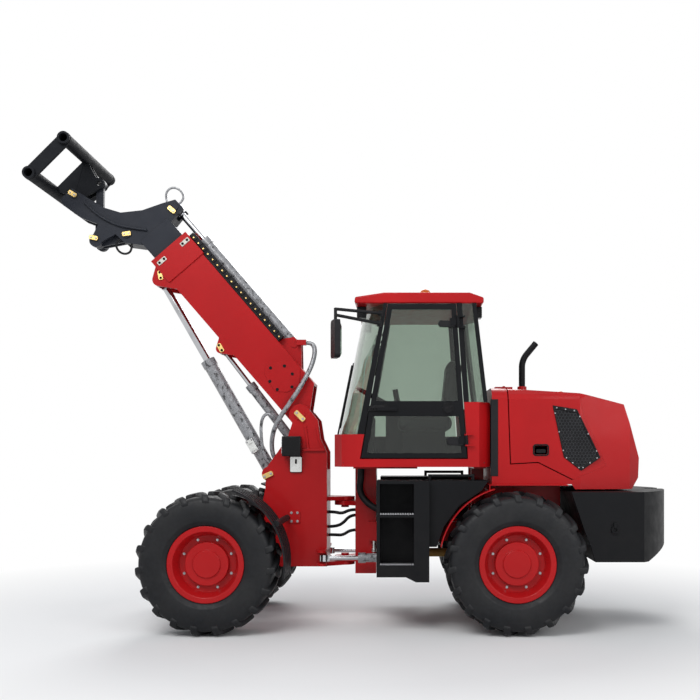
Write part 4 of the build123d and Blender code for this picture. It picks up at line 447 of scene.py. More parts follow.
@dataclass(frozen=True)
class Cloth:
    """Woven seat cover."""

    name: str
    slot: str
    color: Color

    def material(self) -> bpy.types.Material:
        """Build the material.

        Returns:
            The material.
        """
        tree = Shader(self.name)
        weave = tree.cells(520.0, tree.stretch((1.0, 1.4, 1.0)))
        tone = tree.ramp(weave, [(0.1, shade(self.color, 1.5)), (0.6, shade(self.color, 0.7))])
        tree.drive("Base Color", tone)
        tree.drive("Roughness", tree.span(tree.noise(30.0, 3), 0.75, 0.95))
        tree.set(Sheen_Weight=0.3)
        tree.bump(weave, 0.3, 0.001)
        return tree.material


RED = Paint("loader_red", "red_paint", (0.40, 0.0065, 0.0085), rough=0.34, coat=0.08, dust_most=0.012)
BLACK = Paint("satin_black", "black_paint", (0.0062, 0.0066, 0.0078),
              rough=0.46, coat=0.0, gloss=0.1, dust_most=0.02)
BLUE_BLACK = Paint("blue_black", "blue_black", (0.020, 0.0225, 0.030),
                   rough=0.42, coat=0.04, gloss=0.12, dust_most=0.0)
COUPLER_BLACK = Paint("coupler_black", "blue_black", (0.010, 0.011, 0.0135),
                      rough=0.62, coat=0.0, gloss=0.1, dust_most=0.0)
OCHRE = Paint("ochre_primer", "ochre_paint", (0.30, 0.17, 0.035), rough=0.5, coat=0.05)
CASTING = Paint("casting_black", "iron", (0.012, 0.012, 0.014), rough=0.55, coat=0.05, dust_most=0.08)
TYRE = Rubber("tyre_rubber", "tyre", (0.0058, 0.0064, 0.0082), dust=(0.03, 0.0295, 0.029))
CHROME = Metal("rod_chrome", "chrome", (0.50, 0.51, 0.53), 0.09)
GOLD_ZINC = Metal("yellow_zinc", "steel", (0.72, 0.52, 0.20), 0.32)
ZINC = Metal("clear_zinc", "steel", (0.66, 0.67, 0.66), 0.3)
STEEL = Metal("bare_steel", "steel", (0.42, 0.42, 0.44), 0.34)
# Packing film whose crease bands are painted reflections.
FILM = Film("barrel_film", "barrel_film", (0.27, 0.275, 0.29), (0.022, 0.022, 0.025))
PLASTIC = Plastic("grained_plastic", "plastic", (0.0095, 0.0095, 0.011))
GLOSS_BLACK = Plastic("gloss_black", "plastic", (0.006, 0.006, 0.007), rough=0.22, grain=900.0)
PAD_WHITE = Plastic("wear_pad", "plastic", (0.62, 0.60, 0.54), rough=0.45)
GRILLE_GREY = Plastic("grille_mesh", "plastic", (0.045, 0.046, 0.05), rough=0.4)
# Dark plastic for the floor mat, and for the sheets of painted shade inside the cab.
LINING_AND_SHADE = Plastic("cab_lining", "plastic", (0.022, 0.022, 0.024), rough=0.6)
AMBER = Plastic("amber_lens", "lamp", (0.50, 0.10, 0.012), rough=0.2, grain=160.0)
RED_LENS = Plastic("red_lens", "lamp", (0.36, 0.012, 0.010), rough=0.16, grain=140.0)
CLEAR_LENS = Plastic("clear_lens", "lamp", (0.62, 0.64, 0.66), rough=0.12, grain=130.0)
MIRROR = Metal("mirror_silver", "chrome", (0.80, 0.82, 0.84), 0.03)
GLASS = Glass("cab_glass", "glass", (0.46, 0.53, 0.47))
SEAT_CLOTH = Cloth("seat_weave", "seat_cover", (0.03, 0.03, 0.033))
HOSE = Plastic("hose_cover", "hose", (0.0095, 0.0095, 0.0105), rough=0.45, grain=700.0)
Finish = Paint | Rubber | Metal | Plastic | Film | Glass | Cloth


class Palette:
    """Materials made once for each finish."""

    made: dict[str, bpy.types.Material] = {}

    @classmethod
    def get(cls, finish: Finish) -> bpy.types.Material:
        """Look a finish's material up, or make it.

        Args:
            finish: The finish.

        Returns:
            Its material.
        """
        if finish.name not in cls.made:
            cls.made[finish.name] = finish.material()
        return cls.made[finish.name]


def settle(mesh: bpy.types.Mesh, name: str, finish: Finish, body: str | None) -> bpy.types.Object:
    """Make a finished piece from a mesh that is in place.

    Args:
        mesh: The mesh, in the row frame.
        name: The piece's name.
        finish: Its finish.
        body: The body it rides on, or None where it is blended later.

    Returns:
        The new object.
    """
    piece = bpy.data.objects.new(name, mesh)
    bpy.context.scene.collection.objects.link(piece)
    mesh.materials.clear()
    mesh.materials.append(Palette.get(finish))
    if body:
        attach(piece, body)
    LOG.info("piece %s on %s", name, body)
    return piece


def evaluated_mesh(piece: bpy.types.Object) -> bpy.types.Mesh:
    """Apply a piece's modifiers.

    Args:
        piece: The object, which keeps its own mesh.

    Returns:
        A plain mesh of the result.
    """
    bpy.context.view_layer.update()
    graph = bpy.context.evaluated_depsgraph_get()
    return bpy.data.meshes.new_from_object(piece.evaluated_get(graph))


def rounded(mesh: bpy.types.Mesh, edge: float, segments: int = 2,
            smooth: float = SHARP_ANGLE) -> bpy.types.Mesh:
    """Round a mesh's edges and shade its flat faces flat.

    Args:
        mesh: The closed mesh to round, which is used up.
        edge: Width of the rounding, or zero for none.
        segments: Faces across it.
        smooth: Angle in degrees above which an edge is rounded or stays sharp.

    Returns:
        The rounded mesh.
    """
    mesh.shade_smooth()
    mesh.set_sharp_from_angle(angle=math.radians(smooth))
    holder = bpy.data.objects.new("rounding", mesh)
    bpy.context.scene.collection.objects.link(holder)
    if edge > 0:
        rounding = holder.modifiers.new("edges", "BEVEL")
        rounding.width = edge
        rounding.segments = segments
        rounding.limit_method = "ANGLE"
        rounding.angle_limit = math.radians(smooth)
        rounding.use_clamp_overlap = True
        rounding.miter_outer = "MITER_ARC"
        flat = holder.modifiers.new("flats", "WEIGHTED_NORMAL")
        flat.mode = "FACE_AREA"
        flat.keep_sharp = True
    final = evaluated_mesh(holder)
    bpy.data.objects.remove(holder)
    return final


@dataclass
class Panel:
    """A CAD node shown with rounded edges and its own finish."""

    node: str
    finish: Finish
    edge: float = 0.004
    segments: int = 2
    smooth: float = SHARP_ANGLE
    soft: float = 0.0

    def dress(self, bodies: dict[str, str]) -> bpy.types.Object:
        """Replace the node by a copy with rounded edges.

        Args:
            bodies: Body name of each node.

        Returns:
            The dressed piece.
        """
        source = frame["nodes"][self.node]
        shape = bmesh.new()
        shape.from_mesh(source.data)
        bmesh.ops.remove_doubles(shape, verts=shape.verts, dist=WELD)
        flat = math.radians(FLAT_ANGLE)
        bmesh.ops.dissolve_limit(shape, angle_limit=flat, verts=shape.verts, edges=shape.edges)
        if self.soft > 0:
            low, high = SOFT_ANGLES
            inner = [edge for edge in shape.edges if len(edge.link_faces) == 2]
            blunt = [edge for edge in inner if low < edge.calc_face_angle() < high]
            bmesh.ops.bevel(shape, geom=blunt, offset=self.soft, segments=SOFT_SEGMENTS, profile=0.5,
                            affect="EDGES", clamp_overlap=True)
        mesh = bpy.data.meshes.new(f"{self.node}_dressed")
        shape.to_mesh(mesh)
        shape.free()
        final = rounded(mesh, self.edge, self.segments, self.smooth)
        piece = settle(final, f"{self.node}_dress", self.finish, bodies[self.node])
        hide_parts(self.node)
        return piece


class Axis(Enum):
    """Direction in which an outline is drawn out."""

    X = 0
    Y = 1
    Z = 2

    def lift(self, u: float, v: float, height: float) -> Vector:
        """Place an outline's point at a height along this axis.

        Args:
            u: First coordinate of the outline, in millimetres.
            v: Second coordinate.
            height: Distance along the axis.

        Returns:
            The place in metres.
        """
        if self is Axis.X:
            return Vector((height, u, v)) * MM
        if self is Axis.Y:
            return Vector((u, height, v)) * MM
        return Vector((u, v, height)) * MM


def circle(at: Flat, radius: float, sides: int = 28, turn: float = 0.0) -> list[Flat]:
    """Corners of a round or many-sided outline."""
    steps = [turn + math.tau * index / sides for index in range(sides)]
    return [(at[0] + radius * math.cos(step), at[1] + radius * math.sin(step)) for step in steps]


def strip(at: Flat, length: float, width: float, angle: float, cut: float = 0.0) -> list[Flat]:
    """Corners of a turned plate.

    Args:
        at: Its middle.
        length: Its longer side.
        width: Its shorter side.
        angle: Degrees from the first axis to the longer side.
        cut: Size of the cut corners.

    Returns:
        The outline.
    """
    half, side = length / 2, width / 2
    corners = [(half - cut, -side), (half, -side + cut), (half, side - cut), (half - cut, side),
               (-half + cut, side), (-half, side - cut), (-half, -side + cut), (-half + cut, -side)]
    if not cut:
        corners = [(half, -side), (half, side), (-half, side), (-half, -side)]
    cos, sin = math.cos(math.radians(angle)), math.sin(math.radians(angle))
    return [(at[0] + u * cos - v * sin, at[1] + u * sin + v * cos) for u, v in corners]


def on_boom(along: float, above: float) -> Flat:
    """Side-view place of a point given along and above the boom's line, in millimetres."""
    x, z = BOOM_FOOT
    return (x + along * BOOM_COS - above * BOOM_SIN, z + along * BOOM_SIN + above * BOOM_COS)


def both_ways(x: float, y: float, z: float) -> list[Spot]:
    """A place on the machine's left side that faces out, and its twin on the right side."""
    return [((x, side.value * y, z), (0, side.value, 0)) for side in Side]


@dataclass(frozen=True)
class Slab:
    """A turned plate that lies on a side face, with two bolts along it where it has a pitch."""

    at: Flat
    length: float
    width: float
    angle: float
    cut: float
    low: float
    high: float
    pitch: float = 0.0

    def outline(self) -> list[Flat]:
        """Its outline in the side view."""
        return strip(self.at, self.length, self.width, self.angle, self.cut)

    def bolt_spots(self, face: float) -> list[Spot]:
        """Find the places of its bolts on both sides of the machine.

        Args:
            face: Distance of the side face from the machine's middle.

        Returns:
            The bolts' spots, on the plate's outer face.
        """
        ends = strip(self.at, self.pitch, HAIRLINE, self.angle)
        return [spot for x, z in (ends[0], ends[2]) for spot in both_ways(x, face + self.high, z)]


class Stock:
    """Shapes in millimetres, gathered for one piece."""

    def __init__(self) -> None:
        """Start with no shapes."""
        self.shape = bmesh.new()

    def prism(self, outline: Sequence[Flat], low: float, high: float, axis: Axis = Axis.Y) -> "Stock":
        """Draw a closed outline out between two heights.

        Args:
            outline: Corners of the outline.
            low: Height of its foot along the axis.
            high: Height of its head.
            axis: Direction in which it is drawn out.

        Returns:
            This stock.
        """
        foot = [self.shape.verts.new(axis.lift(u, v, low)) for u, v in outline]
        head = [self.shape.verts.new(axis.lift(u, v, high)) for u, v in outline]
        self.shape.faces.new(foot)
        self.shape.faces.new(head[::-1])
        for index in range(len(outline)):
            after = (index + 1) % len(outline)
            self.shape.faces.new((foot[index], foot[after], head[after], head[index]))
        return self

    def block(self, low: Point, high: Point) -> "Stock":
        """Add a box.

        Args:
            low: Its lowest corner.
            high: Its highest corner.

        Returns:
            This stock.
        """
        outline = [(low[0], low[1]), (high[0], low[1]), (high[0], high[1]), (low[0], high[1])]
        return self.prism(outline, low[2], high[2], Axis.Z)

    def loft(self, sections: Sequence[Sequence[Vector]], closed: bool = False) -> "Stock":
        """Skin sections that have equally many points.

        Args:
            sections: Points of each section, in metres.
            closed: Joins the last section to the first, where the run otherwise has end caps.

        Returns:
            This stock.
        """
        rings = [[self.shape.verts.new(place) for place in section] for section in sections]
        count = len(rings[0])
        pairs = list(zip(rings, rings[1:])) + ([(rings[-1], rings[0])] if closed else [])
        for first, second in pairs:
            for index in range(count):
                after = (index + 1) % count
                self.shape.faces.new((first[index], first[after], second[after], second[index]))
        if not closed:
            self.shape.faces.new(rings[0])
            self.shape.faces.new(rings[-1][::-1])
        return self

    def ring(self, outer: Sequence[Flat], inner: Sequence[Flat], low: float, high: float,
             axis: Axis = Axis.Y) -> "Stock":
        """Add a frame between two outlines that have equally many corners.

        Args:
            outer: The outer outline.
            inner: The inner outline.
            low: Height of the frame's foot along the axis.
            high: Height of its head.
            axis: Direction in which it is drawn out.

        Returns:
            This stock.
        """
        sections = [[axis.lift(*a, low), axis.lift(*a, high), axis.lift(*b, high), axis.lift(*b, low)]
                    for a, b in zip(outer, inner)]
        return self.loft(sections, closed=True)

    def slabs(self, slabs: Sequence[Slab], face: float = 0.0) -> "Stock":
        """Add turned plates.

        Args:
            slabs: The plates.
            face: Distance of the side face that they lie on from the machine's middle.

        Returns:
            This stock.
        """
        for slab in slabs:
            self.prism(slab.outline(), face + slab.low, face + slab.high)
        return self

    def mesh(self, edge: float = 1.5, segments: int = 2, both: bool = False,
             smooth: float = SHARP_ANGLE) -> bpy.types.Mesh:
        """The gathered shapes with rounded edges.

        Args:
            edge: Width of the rounding in millimetres.
            segments: Faces across it.
            both: Adds the same shapes on the machine's other side.
            smooth: Angle in degrees above which an edge is rounded.

        Returns:
            The mesh.
        """
        if both:
            everything = [*self.shape.verts, *self.shape.edges, *self.shape.faces]
            copies = bmesh.ops.duplicate(self.shape, geom=everything)["geom"]
            for vertex in copies:
                if isinstance(vertex, bmesh.types.BMVert):
                    vertex.co.y *= -1
        bmesh.ops.recalc_face_normals(self.shape, faces=self.shape.faces)
        mesh = bpy.data.meshes.new("stock")
        self.shape.to_mesh(mesh)
        self.shape.free()
        return rounded(mesh, edge * MM, segments, smooth)


def joined(*meshes: bpy.types.Mesh) -> bpy.types.Mesh:
    """Put several meshes into one.

    Args:
        meshes: The meshes.

    Returns:
        The new mesh.
    """
    shape = bmesh.new()
    for mesh in meshes:
        shape.from_mesh(mesh)
    whole = bpy.data.meshes.new("joined")
    shape.to_mesh(whole)
    shape.free()
    return whole


class Pattern(Enum):
    """Way in which copies are spread."""

    RING = "ring"
    ROW = "row"
    PLACES = "places"


@dataclass
class Repeat:
    """Copies of one small shape, spread by Geometry Nodes."""

    name: str
    pattern: Pattern
    finish: Finish
    count: int = 1
    center: Point = (0.0, 0.0, 0.0)
    step: Point = (0.0, 0.0, 0.0)
    phase: float = 0.0

    def _at_places(self, tree: bpy.types.NodeTree, given: bpy.types.Node, copies: bpy.types.Node) -> None:
        """Set a copy on each point of the given object, turned to the point's facing.

        Args:
            tree: The node tree.
            given: The tree's inputs.
            copies: The node that makes the copies.
        """
        source = tree.nodes.new("GeometryNodeObjectInfo")
        tree.links.new(given.outputs["Places"], source.inputs["Object"])
        tree.links.new(source.outputs["Geometry"], copies.inputs["Points"])
        facing = tree.nodes.new("GeometryNodeInputNamedAttribute")
        facing.data_type = "FLOAT_VECTOR"
        facing.inputs["Name"].default_value = "facing"
        turn = tree.nodes.new("FunctionNodeAlignRotationToVector")
        turn.axis = "Z"
        tree.links.new(facing.outputs["Attribute"], turn.inputs["Vector"])
        tree.links.new(turn.outputs[0], copies.inputs["Rotation"])

    def _in_line(self, tree: bpy.types.NodeTree, given: bpy.types.Node, copies: bpy.types.Node) -> None:
        """Set the copies a step apart, or all in one place where the step is zero.

        Args:
            tree: The node tree.
            given: The tree's inputs.
            copies: The node that makes the copies.
        """
        line = tree.nodes.new("GeometryNodeMeshLine")
        tree.links.new(given.outputs["Count"], line.inputs["Count"])
        tree.links.new(given.outputs["Center"], line.inputs["Start Location"])
        tree.links.new(given.outputs["Step"], line.inputs["Offset"])
        tree.links.new(line.outputs[0], copies.inputs["Points"])

    def _about_axle(self, tree: bpy.types.NodeTree, given: bpy.types.Node, copies: bpy.types.Node) -> None:
        """Turn each copy on by its share of a whole turn about Y.

        Args:
            tree: The node tree.
            given: The tree's inputs.
            copies: The node that makes the copies.
        """
        index = tree.nodes.new("GeometryNodeInputIndex")
        share = tree.nodes.new("ShaderNodeMath")
        share.operation = "DIVIDE"
        tree.links.new(index.outputs[0], share.inputs[0])
        tree.links.new(given.outputs["Count"], share.inputs[1])
        angle = tree.nodes.new("ShaderNodeMath")
        angle.operation = "MULTIPLY_ADD"
        tree.links.new(share.outputs[0], angle.inputs[0])
        angle.inputs[1].default_value = math.tau
        tree.links.new(given.outputs["Phase"], angle.inputs[2])
        about = tree.nodes.new("ShaderNodeCombineXYZ")
        tree.links.new(angle.outputs[0], about.inputs["Y"])
        tree.links.new(about.outputs[0], copies.inputs["Rotation"])

    def _tree(self) -> bpy.types.NodeTree:
        """Build the node tree with its named inputs.

        Returns:
            The tree, which turns one shape into all its copies.
        """
        tree = bpy.data.node_groups.new(f"{self.name}_spread", "GeometryNodeTree")
        kinds = {"Shape": "Geometry", "Count": "Int", "Center": "Vector", "Step": "Vector", "Phase": "Float",
                 "Places": "Object"}
        for name, kind in kinds.items():
            tree.interface.new_socket(name, in_out="INPUT", socket_type=f"NodeSocket{kind}")
        tree.interface.new_socket("Spread", in_out="OUTPUT", socket_type="NodeSocketGeometry")
        given = tree.nodes.new("NodeGroupInput")
        copies = tree.nodes.new("GeometryNodeInstanceOnPoints")
        tree.links.new(given.outputs["Shape"], copies.inputs["Instance"])
        if self.pattern is Pattern.PLACES:
            self._at_places(tree, given, copies)
        else:
            self._in_line(tree, given, copies)
        if self.pattern is Pattern.RING:
            self._about_axle(tree, given, copies)
        real = tree.nodes.new("GeometryNodeRealizeInstances")
        tree.links.new(copies.outputs[0], real.inputs[0])
        finish = tree.nodes.new("GeometryNodeSetMaterial")
        finish.inputs["Material"].default_value = Palette.get(self.finish)
        tree.links.new(real.outputs[0], finish.inputs["Geometry"])
        out = tree.nodes.new("NodeGroupOutput")
        tree.links.new(finish.outputs[0], out.inputs["Spread"])
        return tree

    def grow(self, shape: bpy.types.Mesh, places: Sequence[Spot] = ()) -> bpy.types.Mesh:
        """Spread the shape.

        Args:
            shape: One copy, at the ring's middle, at a row's start or standing on the origin along Z.
            places: Place in millimetres and facing of each copy, for the pattern of that name.

        Returns:
            A plain mesh of all copies.
        """
        tree = self._tree()
        holder = bpy.data.objects.new(f"{self.name}_seed", shape)
        bpy.context.scene.collection.objects.link(holder)
        points = bpy.data.meshes.new(f"{self.name}_places")
        points.from_pydata([tuple(MM * c for c in place) for place, _ in places], [], [])
        facing = points.attributes.new("facing", "FLOAT_VECTOR", "POINT")
        for item, (_, way) in zip(facing.data, places):
            item.vector = way
        spots = bpy.data.objects.new(f"{self.name}_places", points)
        bpy.context.scene.collection.objects.link(spots)
        modifier = holder.modifiers.new("spread", "NODES")
        modifier.node_group = tree
        values = {"Count": self.count, "Center": [MM * c for c in self.center],
                  "Step": [MM * c for c in self.step], "Phase": self.phase, "Places": spots}
        for item in tree.interface.items_tree:
            if item.in_out == "INPUT" and item.name in values:
                modifier[item.identifier] = values[item.name]
        mesh = evaluated_mesh(holder)
        holder.modifiers.clear()
        bpy.data.objects.remove(holder)
        bpy.data.objects.remove(spots)
        return mesh


@dataclass
class Bolts:
    """Hexagon bolts with washers at given places."""

    name: str
    body: str
    finish: Finish
    across: float = 20.0
    height: float = 9.0
    washer: float = 0.72
    washer_height: float = 0.22
    washer_sides: int = 20
    sunk: float = 1.0

    def fit(self, places: Sequence[Spot]) -> bpy.types.Object:
        """Set a bolt at each place.

        Args:
            places: Place and facing of each bolt.

        Returns:
            The piece with all the bolts.
        """
        disc = circle((0, 0), self.across * self.washer, self.washer_sides)
        one = Stock().prism(disc, -self.sunk, self.washer_height * self.height, Axis.Z)
        one.prism(circle((0, 0), self.across * HEX_CORNER, 6), 0.0, self.height, Axis.Z)
        mesh = Repeat(self.name, Pattern.PLACES, self.finish).grow(one.mesh(0.8, 1), places)
        return settle(mesh, self.name, self.finish, self.body)


@dataclass
class SplitPanel(Panel):
    """A CAD node whose faces past a limit along one axis have a second finish."""

    second: Finish = field(default_factory=lambda: BLACK)
    axis: Axis = Axis.Z
    limit: float = 0.0

    def dress(self, bodies: dict[str, str]) -> bpy.types.Object:
        """Dress the node, then give the faces above the limit the second finish.

        Args:
            bodies: Body name of each node.

        Returns:
            The dressed piece.
        """
        piece = super().dress(bodies)
        piece.data.materials.append(Palette.get(self.second))
        for polygon in piece.data.polygons:
            polygon.material_index = 1 if polygon.center[self.axis.value] > self.limit else 0
        return piece


def spline_mesh(name: str, route: Sequence[Point], bevel: float) -> bpy.types.Mesh:
    """A smooth line through a route's control points.

    Args:
        name: Name of the line.
        route: Control points in millimetres.
        bevel: Radius in metres of the tube round it, or zero for the bare line.

    Returns:
        The line or tube as a mesh.
    """
    curve = bpy.data.curves.new(f"{name}_route", "CURVE")
    curve.dimensions = "3D"
    curve.resolution_u = 10
    curve.bevel_depth = bevel
    curve.bevel_resolution = 5
    curve.use_fill_caps = bevel > 0
    spline = curve.splines.new("NURBS")
    spline.points.add(len(route) - 1)
    for point, place in zip(spline.points, route):
        point.co = (*(MM * c for c in place), 1.0)
    spline.order_u = 3
    spline.use_endpoint_u = True
    holder = bpy.data.objects.new(f"{name}_route", curve)
    bpy.context.scene.collection.objects.link(holder)
    mesh = evaluated_mesh(holder)
    bpy.data.objects.remove(holder)
    return mesh


@dataclass
class Hose:
    """A hose along the route that the CAD model gives it."""

    name: str
    node: str
    route: Sequence[Point]
    radius: float
    length: float
    finish: Finish
    from_body: str
    to_body: str

    def line(self) -> list[Vector]:
        """Follow the route's smooth line.

        Returns:
            Points along it, in metres.
        """
        mesh = spline_mesh(self.name, self.route, 0.0)
        points = [vertex.co.copy() for vertex in mesh.vertices]
        bpy.data.meshes.remove(mesh)
        return points

    def build(self) -> bpy.types.Object:
        """Returns:
            The hose.
        """
        mesh = spline_mesh(self.name, self.route, self.radius * MM)
        mesh.shade_smooth()
        path = self.line()
        same = self.from_body == self.to_body
        piece = settle(mesh, self.name, self.finish, self.from_body if same else None)
        if not same:
            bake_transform(piece)
        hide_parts(self.node)
        return piece


@dataclass(frozen=True)
class PivotRun:
    """A hose across the articulation, by its lateral place, its heights and its length."""

    across: float
    tower: float
    middle: float
    post: float
    length: float

    def route(self) -> list[Point]:
        """Control points from the tower to the post."""
        return [(215, self.across, self.tower), (165, self.across, self.tower),
                (101.5, self.across + 8, self.middle), (38, self.across, self.post),
                (-12, self.across, self.post)]


BUNDLE = [
    (392, 96, 2258), (352, 96, 2258), (322, 112, 2222), (318, 140, 2150), (346, 178, 2045), (420, 202, 1902),
    (502, 214, 1775), (586, 205, 1655), (648, 165, 1550), (672, 122, 1447), (668, 106, 1362), (648, 105, 1306),
    (612, 105, 1306),
]
PORT_LOOP = [
    (640, 58, 1622), (640, 92, 1622), (660, 112, 1654), (700, 114, 1680), (742, 112, 1658), (762, 108, 1582),
    (758, 104, 1482), (748, 102, 1388), (722, 100, 1310), (664, 100, 1258), (612, 100, 1258),
]
PIVOT_RUNS = (
    PivotRun(48, 872, 858, 890, 0.233),
    PivotRun(0, 748, 770, 842, 0.259),
    PivotRun(-48, 676, 672, 716, 0.238),
)
LOWER_HEAD_LOOP = [
    (1822, 84, 3064.2), (1822, 84, 3022), (1846, 85, 2990), (1890, 86, 2984), (1930, 86, 3008),
    (1950, 85, 3046), (1946.5, 84, 3078.6), (1915.5, 84, 3110),
]
UPPER_HEAD_LOOP = [
    (1429.8, 92, 3394.3), (1397, 92, 3425.5), (1396, 97, 3470), (1430, 100, 3512), (1484, 100, 3528),
    (1530, 97, 3500), (1542.6, 92, 3450.3), (1530.1, 92, 3407.2),
]
FILLER = [
    (-62, 236, 1235), (-62, 236, 1150), (-48, 240, 1068), (-84, 256, 985), (-160, 296, 925), (-240, 350, 896),
    (-240, 425, 896),
]


@dataclass
class Wheel:
    """A tyre with moulded lugs and the bolts of its wheel."""

    corner: str
    x: float
    side: Side
    height: float = 535.0
    track: float = 725.0
    lugs: int = 19
    lead: float = 0.19
    lug_reach: float = 200.0
    lug_foot: float = 33.0
    lug_top: float = 21.0
    lug_rows: Sequence[tuple[Flat, Flat]] = (
        ((8, 494), (14, 534)), ((70, 494), (72, 534)), ((132, 490), (138, 531)), ((172, 476), (186, 517)),
        ((192, 440), (204.5, 470)))
    wall: Sequence[Flat] = (
        (150, 264), (176, 289), (188, 300), (194, 316), (199, 320), (199, 332), (202, 345), (205, 385),
        (203, 425), (197, 462), (186, 486), (160, 497), (80, 503), (0, 504))
    turns: int = 96
    crease: float = 42.0
    bolts: int = 8
    bolt_ring: float = 190.0
    bolt_turn: float = 0.39
    disc: float = 80.0

    def _carcass(self) -> bpy.types.Mesh:
        """Make the tyre without its lugs.

        Returns:
            Its mesh round the origin.
        """
        mirrored = [(-offset, radius) for offset, radius in self.wall[-2::-1]]
        section = [*self.wall, *mirrored]
        rings = []
        for index in range(self.turns):
            turn = math.tau * index / self.turns
            rings.append([Vector((radius * math.cos(turn), offset, radius * math.sin(turn))) * MM
                          for offset, radius in section])
        return Stock().loft(rings, closed=True).mesh(0.0, smooth=50.0)

    def _lug(self, half: int) -> bpy.types.Mesh:
        """Make one lug at the tyre's lowest place.

        Args:
            half: Sign of the half of the tread that it is on.

        Returns:
            Its mesh.
        """
        foot_half, top_half = self.lug_foot, self.lug_top
        sections = []
        for foot, head in self.lug_rows:
            middle = -math.pi / 2 + self.lead * (foot[0] / self.lug_reach)
            corners = []
            around = ((foot, -foot_half), (foot, foot_half), (head, top_half), (head, -top_half))
            for (offset, radius), spread in around:
                turn = middle + spread / radius
                corners.append(Vector((radius * math.cos(turn), half * offset, radius * math.sin(turn))) * MM)
            sections.append(corners)
        return Stock().loft(sections).mesh(7.0, 2, smooth=25.0)

    def build(self) -> None:
        """Make the tyre and the bolts."""
        out = self.side.value
        meshes = [self._carcass()]
        for half, phase in ((1, 0.0), (-1, math.pi / self.lugs)):
            spread = Repeat(f"lugs_{self.corner}", Pattern.RING, TYRE, self.lugs, phase=phase)
            meshes.append(spread.grow(self._lug(half)))
        tyre = joined(*meshes)
        tyre.transform(Matrix.Translation(Vector((self.x, out * self.track, self.height)) * MM))
        tyre.shade_smooth()
        tyre.set_sharp_from_angle(angle=math.radians(self.crease))
        piece = settle(tyre, f"tyre_{self.corner}_lugged", TYRE, f"wheel_{self.corner}")
        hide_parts(f"tyre_{self.corner}")
        face = out * (self.track + self.disc)
        places = [((self.x + u, face, self.height + v), (0, out, 0))
                  for u, v in circle((0, 0), self.bolt_ring, self.bolts, self.bolt_turn)]
        Bolts(f"wheel_bolts_{self.corner}", f"wheel_{self.corner}", STEEL, 15.0, 10.0).fit(places)


